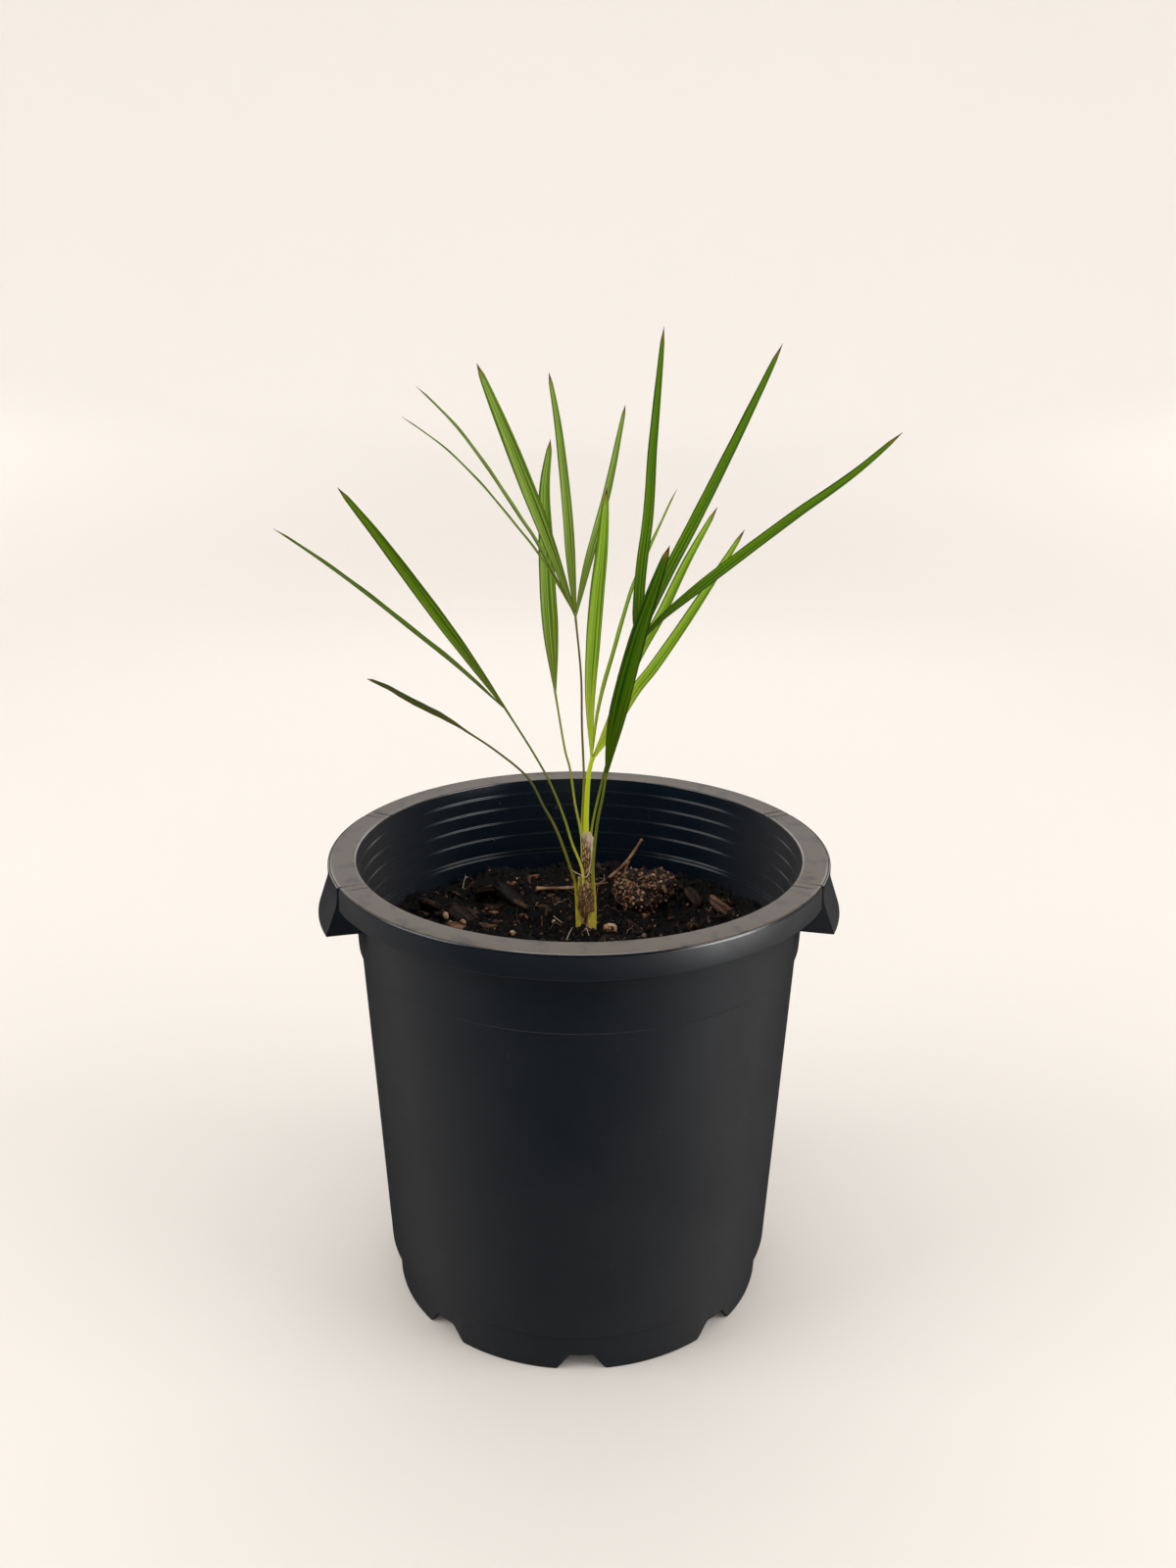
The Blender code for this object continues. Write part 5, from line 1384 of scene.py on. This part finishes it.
# The bright greens of leaf_back and leaf_tall are pale and bluish, partly a painted sheen for the highlights
# along their pleats.
LEAF_GREENS = {
    "leaf_low_left": ((0.016, 0.030, 0.0004), (0.060, 0.078, 0.001), (0.070, 0.072, 0.004),
                      (0.085, 0.092, 0.014), (0.620, 0.540, 0.050), 0.45),
    "leaf_left": ((0.026, 0.066, 0.0002), (0.130, 0.240, 0.001), (0.090, 0.115, 0.010),
                  (0.115, 0.140, 0.014), (0.620, 0.620, 0.060), 0.38),
    "leaf_back": ((0.060, 0.130, 0.001), (0.270, 0.420, 0.060), (0.150, 0.200, 0.016),
                  (0.200, 0.230, 0.022), (0.620, 0.680, 0.080), 0.26),
    "leaf_tall": ((0.052, 0.120, 0.001), (0.300, 0.440, 0.070), (0.150, 0.210, 0.020),
                  (0.120, 0.105, 0.020), (0.640, 0.660, 0.080), 0.32),
    "leaf_new": ((0.070, 0.170, 0.0005), (0.330, 0.520, 0.030), (0.520, 0.620, 0.030),
                 (0.460, 0.560, 0.012), (0.700, 0.700, 0.050), 0.36),
    "leaf_front": ((0.010, 0.050, 0.0002), (0.075, 0.170, 0.0008), (0.060, 0.110, 0.001),
                   (0.150, 0.165, 0.020), (0.660, 0.580, 0.060), 0.44),
    "leaf_right": ((0.026, 0.082, 0.0003), (0.125, 0.270, 0.001), (0.032, 0.076, 0.0008),
                   (0.046, 0.086, 0.002), (0.520, 0.560, 0.060), 0.40),
}

LEAVES = {
    "leaf_low_left": {
        "stalk": (
            (-0.0005, 0.0128, 0.1410),
            (-0.0009, 0.0128, 0.1580),
            (-0.0015, 0.0126, 0.1690),
            (-0.0030, 0.0122, 0.1753),
            (-0.0091, 0.0097, 0.1945),
            (-0.0146, 0.0074, 0.2064),
            (-0.0211, 0.0043, 0.2200),
            (-0.0333, 0.0002, 0.2323),
            (-0.0455, -0.0040, 0.2423),
        ),
        "radii": (0.00115, 0.00062),
        "clasp": (212.0, 188.0, 46.0, 0.1730),
        "upper_side": (0.30, -0.60, 0.75),
        "segments": (
            {"route": ((-0.0530, -0.0060, 0.2475), (-0.0600, -0.0085, 0.2520),
                       (-0.0670, -0.0105, 0.2565), (-0.0735, -0.0135, 0.2615),
                       (-0.0805, -0.0160, 0.2655)),
             "width": 0.0029, "widest_at": 0.38},
        ),
    },
    "leaf_left": {
        "stalk": (
            (0.0018, 0.0104, 0.1690),
            (0.0010, 0.0096, 0.1786),
            (-0.0030, 0.0096, 0.1894),
            (-0.0063, 0.0098, 0.2005),
            (-0.0119, 0.0102, 0.2151),
            (-0.0189, 0.0109, 0.2282),
            (-0.0302, 0.0120, 0.2466),
        ),
        "radii": (0.00090, 0.00062),
        "upper_side": (0.35, -0.85, 0.40),
        "segments": (
            {"route": ((-0.0435, 0.0150, 0.2645), (-0.0565, 0.0185, 0.2815),
                       (-0.0695, 0.0220, 0.2985), (-0.0825, 0.0260, 0.3150),
                       (-0.0960, 0.0300, 0.3310)),
             "width": 0.0052, "widest_at": 0.44},
            {"route": ((-0.0480, 0.0100, 0.2630), (-0.0650, 0.0075, 0.2780),
                       (-0.0825, 0.0045, 0.2935), (-0.0990, 0.0020, 0.3070),
                       (-0.1155, -0.0010, 0.3195)),
             "width": 0.0042, "widest_at": 0.31, "upper_side": (0.55, -0.16, 0.81)},
        ),
    },
    "leaf_back": {
        "stalk": (
            (0.0018, 0.0172, 0.1640),
            (0.0012, 0.0175, 0.1790),
            (0.0005, 0.0178, 0.1911),
            (-0.0020, 0.0201, 0.2032),
            (-0.0041, 0.0240, 0.2165),
            (-0.0066, 0.0272, 0.2257),
            (-0.0108, 0.0360, 0.2480),
        ),
        "radii": (0.00085, 0.00066),
        "upper_side": (0.35, -0.92, 0.15),
        "segments": (
            {"route": ((-0.0130, 0.0445, 0.2700), (-0.0145, 0.0525, 0.2880),
                       (-0.0155, 0.0620, 0.3070), (-0.0160, 0.0715, 0.3260),
                       (-0.0135, 0.0820, 0.3450)),
             "width": 0.0072, "widest_at": 0.31},
        ),
    },
    "leaf_tall": {
        "stalk": (
            (0.0024, 0.0152, 0.1640),
            (0.0013, 0.0154, 0.1850),
            (0.0009, 0.0155, 0.1963),
            (0.0016, 0.0168, 0.2146),
            (0.0007, 0.0193, 0.2365),
            (0.0002, 0.0221, 0.2575),
            (-0.0023, 0.0260, 0.2824),
        ),
        "radii": (0.00085, 0.00060),
        "upper_side": (0.00, -0.97, 0.25),
        "segments": (
            {"route": ((-0.0105, 0.0255, 0.2955), (-0.0185, 0.0245, 0.3080),
                       (-0.0260, 0.0240, 0.3175), (-0.0390, 0.0225, 0.3335),
                       (-0.0530, 0.0215, 0.3475), (-0.0685, 0.0200, 0.3590)),
             "width": 0.0034, "widest_at": 0.28, "upper_side": (0.70, 0.09, 0.66)},
            {"route": ((-0.0110, 0.0270, 0.2975), (-0.0185, 0.0280, 0.3110),
                       (-0.0250, 0.0285, 0.3205), (-0.0370, 0.0295, 0.3385),
                       (-0.0495, 0.0305, 0.3550), (-0.0640, 0.0320, 0.3695)),
             "width": 0.0038, "widest_at": 0.46, "upper_side": (0.67, -0.12, 0.70)},
            {"route": ((-0.0085, 0.0285, 0.2985), (-0.0155, 0.0320, 0.3165),
                       (-0.0215, 0.0350, 0.3310), (-0.0295, 0.0395, 0.3500),
                       (-0.0415, 0.0460, 0.3775)),
             "width": 0.0058, "widest_at": 0.50},
            {"route": ((-0.0040, 0.0315, 0.3010), (-0.0055, 0.0380, 0.3195),
                       (-0.0075, 0.0450, 0.3375), (-0.0100, 0.0525, 0.3555),
                       (-0.0135, 0.0600, 0.3735)),
             "width": 0.0040, "widest_at": 0.31},
            {"route": ((0.0020, 0.0310, 0.2985), (0.0055, 0.0360, 0.3110),
                       (0.0095, 0.0420, 0.3250), (0.0125, 0.0475, 0.3375),
                       (0.0175, 0.0580, 0.3610)),
             "width": 0.0034, "widest_at": 0.31},
        ),
    },
    "leaf_new": {
        "stalk": (
            (0.0033, 0.0124, 0.1640),
            (0.0029, 0.0124, 0.1780),
            (0.0026, 0.0128, 0.1947),
            (0.0029, 0.0137, 0.2068),
            (0.0036, 0.0150, 0.2178),
            (0.0052, 0.0160, 0.2250),
        ),
        "radii": (0.00200, 0.00130),
        "upper_side": (-0.10, -0.95, 0.30),
        "segments": (
            {"route": ((0.0040, 0.0190, 0.2475), (0.0050, 0.0225, 0.2690),
                       (0.0065, 0.0260, 0.2895), (0.0085, 0.0295, 0.3095),
                       (0.0100, 0.0340, 0.3310)),
             "width": 0.0059, "widest_at": 0.53},
            {"route": ((0.0080, 0.0210, 0.2450), (0.0145, 0.0285, 0.2680),
                       (0.0210, 0.0360, 0.2895), (0.0280, 0.0425, 0.3055),
                       (0.0390, 0.0520, 0.3285)),
             "width": 0.0040, "widest_at": 0.31, "upper_side": (-0.88, -0.22, 0.40)},
            {"route": ((0.0120, 0.0195, 0.2395), (0.0230, 0.0275, 0.2635),
                       (0.0325, 0.0335, 0.2800), (0.0430, 0.0415, 0.3005),
                       (0.0555, 0.0500, 0.3215)),
             "width": 0.0040, "widest_at": 0.50},
            {"route": ((0.0130, 0.0180, 0.2355), (0.0220, 0.0215, 0.2510),
                       (0.0300, 0.0245, 0.2610), (0.0425, 0.0295, 0.2785),
                       (0.0545, 0.0345, 0.2965), (0.0660, 0.0400, 0.3140)),
             "width": 0.0044, "widest_at": 0.34},
        ),
    },
    "leaf_front": {
        "stalk": (
            (0.0063, 0.0113, 0.1410),
            (0.0064, 0.0112, 0.1581),
            (0.0060, 0.0103, 0.1687),
            (0.0055, 0.0092, 0.1783),
            (0.0062, 0.0074, 0.1899),
            (0.0073, 0.0048, 0.2011),
            (0.0092, 0.0015, 0.2128),
            (0.0106, -0.0020, 0.2239),
        ),
        "radii": (0.00125, 0.00070),
        "clasp": (322.0, 322.0, 54.0, 0.1760),
        "upper_side": (0.10, 0.80, 0.60),
        "segments": (
            {"route": ((0.0130, -0.0080, 0.2415), (0.0170, -0.0170, 0.2635),
                       (0.0215, -0.0270, 0.2850), (0.0265, -0.0380, 0.3050),
                       (0.0310, -0.0480, 0.3220)),
             "width": 0.0070, "widest_at": 0.31},
        ),
    },
    "leaf_right": {
        "stalk": (
            (0.0052, 0.0144, 0.1640),
            (0.0047, 0.0144, 0.1850),
            (0.0050, 0.0142, 0.1951),
            (0.0081, 0.0127, 0.2114),
            (0.0100, 0.0116, 0.2202),
            (0.0130, 0.0096, 0.2341),
            (0.0170, 0.0064, 0.2533),
            (0.0223, 0.0020, 0.2762),
        ),
        "radii": (0.00080, 0.00065),
        "upper_side": (-0.30, -0.90, 0.30),
        "segments": (
            {"route": ((0.0230, 0.0010, 0.3015), (0.0255, 0.0000, 0.3255),
                       (0.0265, -0.0015, 0.3490), (0.0280, -0.0025, 0.3710),
                       (0.0295, -0.0040, 0.3930)),
             "width": 0.0045, "widest_at": 0.12},
            {"route": ((0.0320, -0.0020, 0.3010), (0.0425, -0.0065, 0.3240),
                       (0.0525, -0.0115, 0.3465), (0.0615, -0.0165, 0.3675),
                       (0.0700, -0.0220, 0.3880)),
             "width": 0.0045, "widest_at": 0.31},
            {"route": ((0.0300, 0.0010, 0.2845), (0.0415, -0.0005, 0.2950),
                       (0.0610, -0.0040, 0.3115), (0.0800, -0.0070, 0.3270),
                       (0.0990, -0.0110, 0.3420), (0.1155, -0.0145, 0.3575)),
             "width": 0.0040, "widest_at": 0.34},
        ),
    },
}

for leaf_name, leaf_shape in LEAVES.items():
    dress("palm_" + leaf_name, leaf_shells(leaf_shape),
          leaf_green(leaf_name + "_skin", *LEAF_GREENS[leaf_name]),
          ("along", "across", "tone"), instead_of=leaf_name)
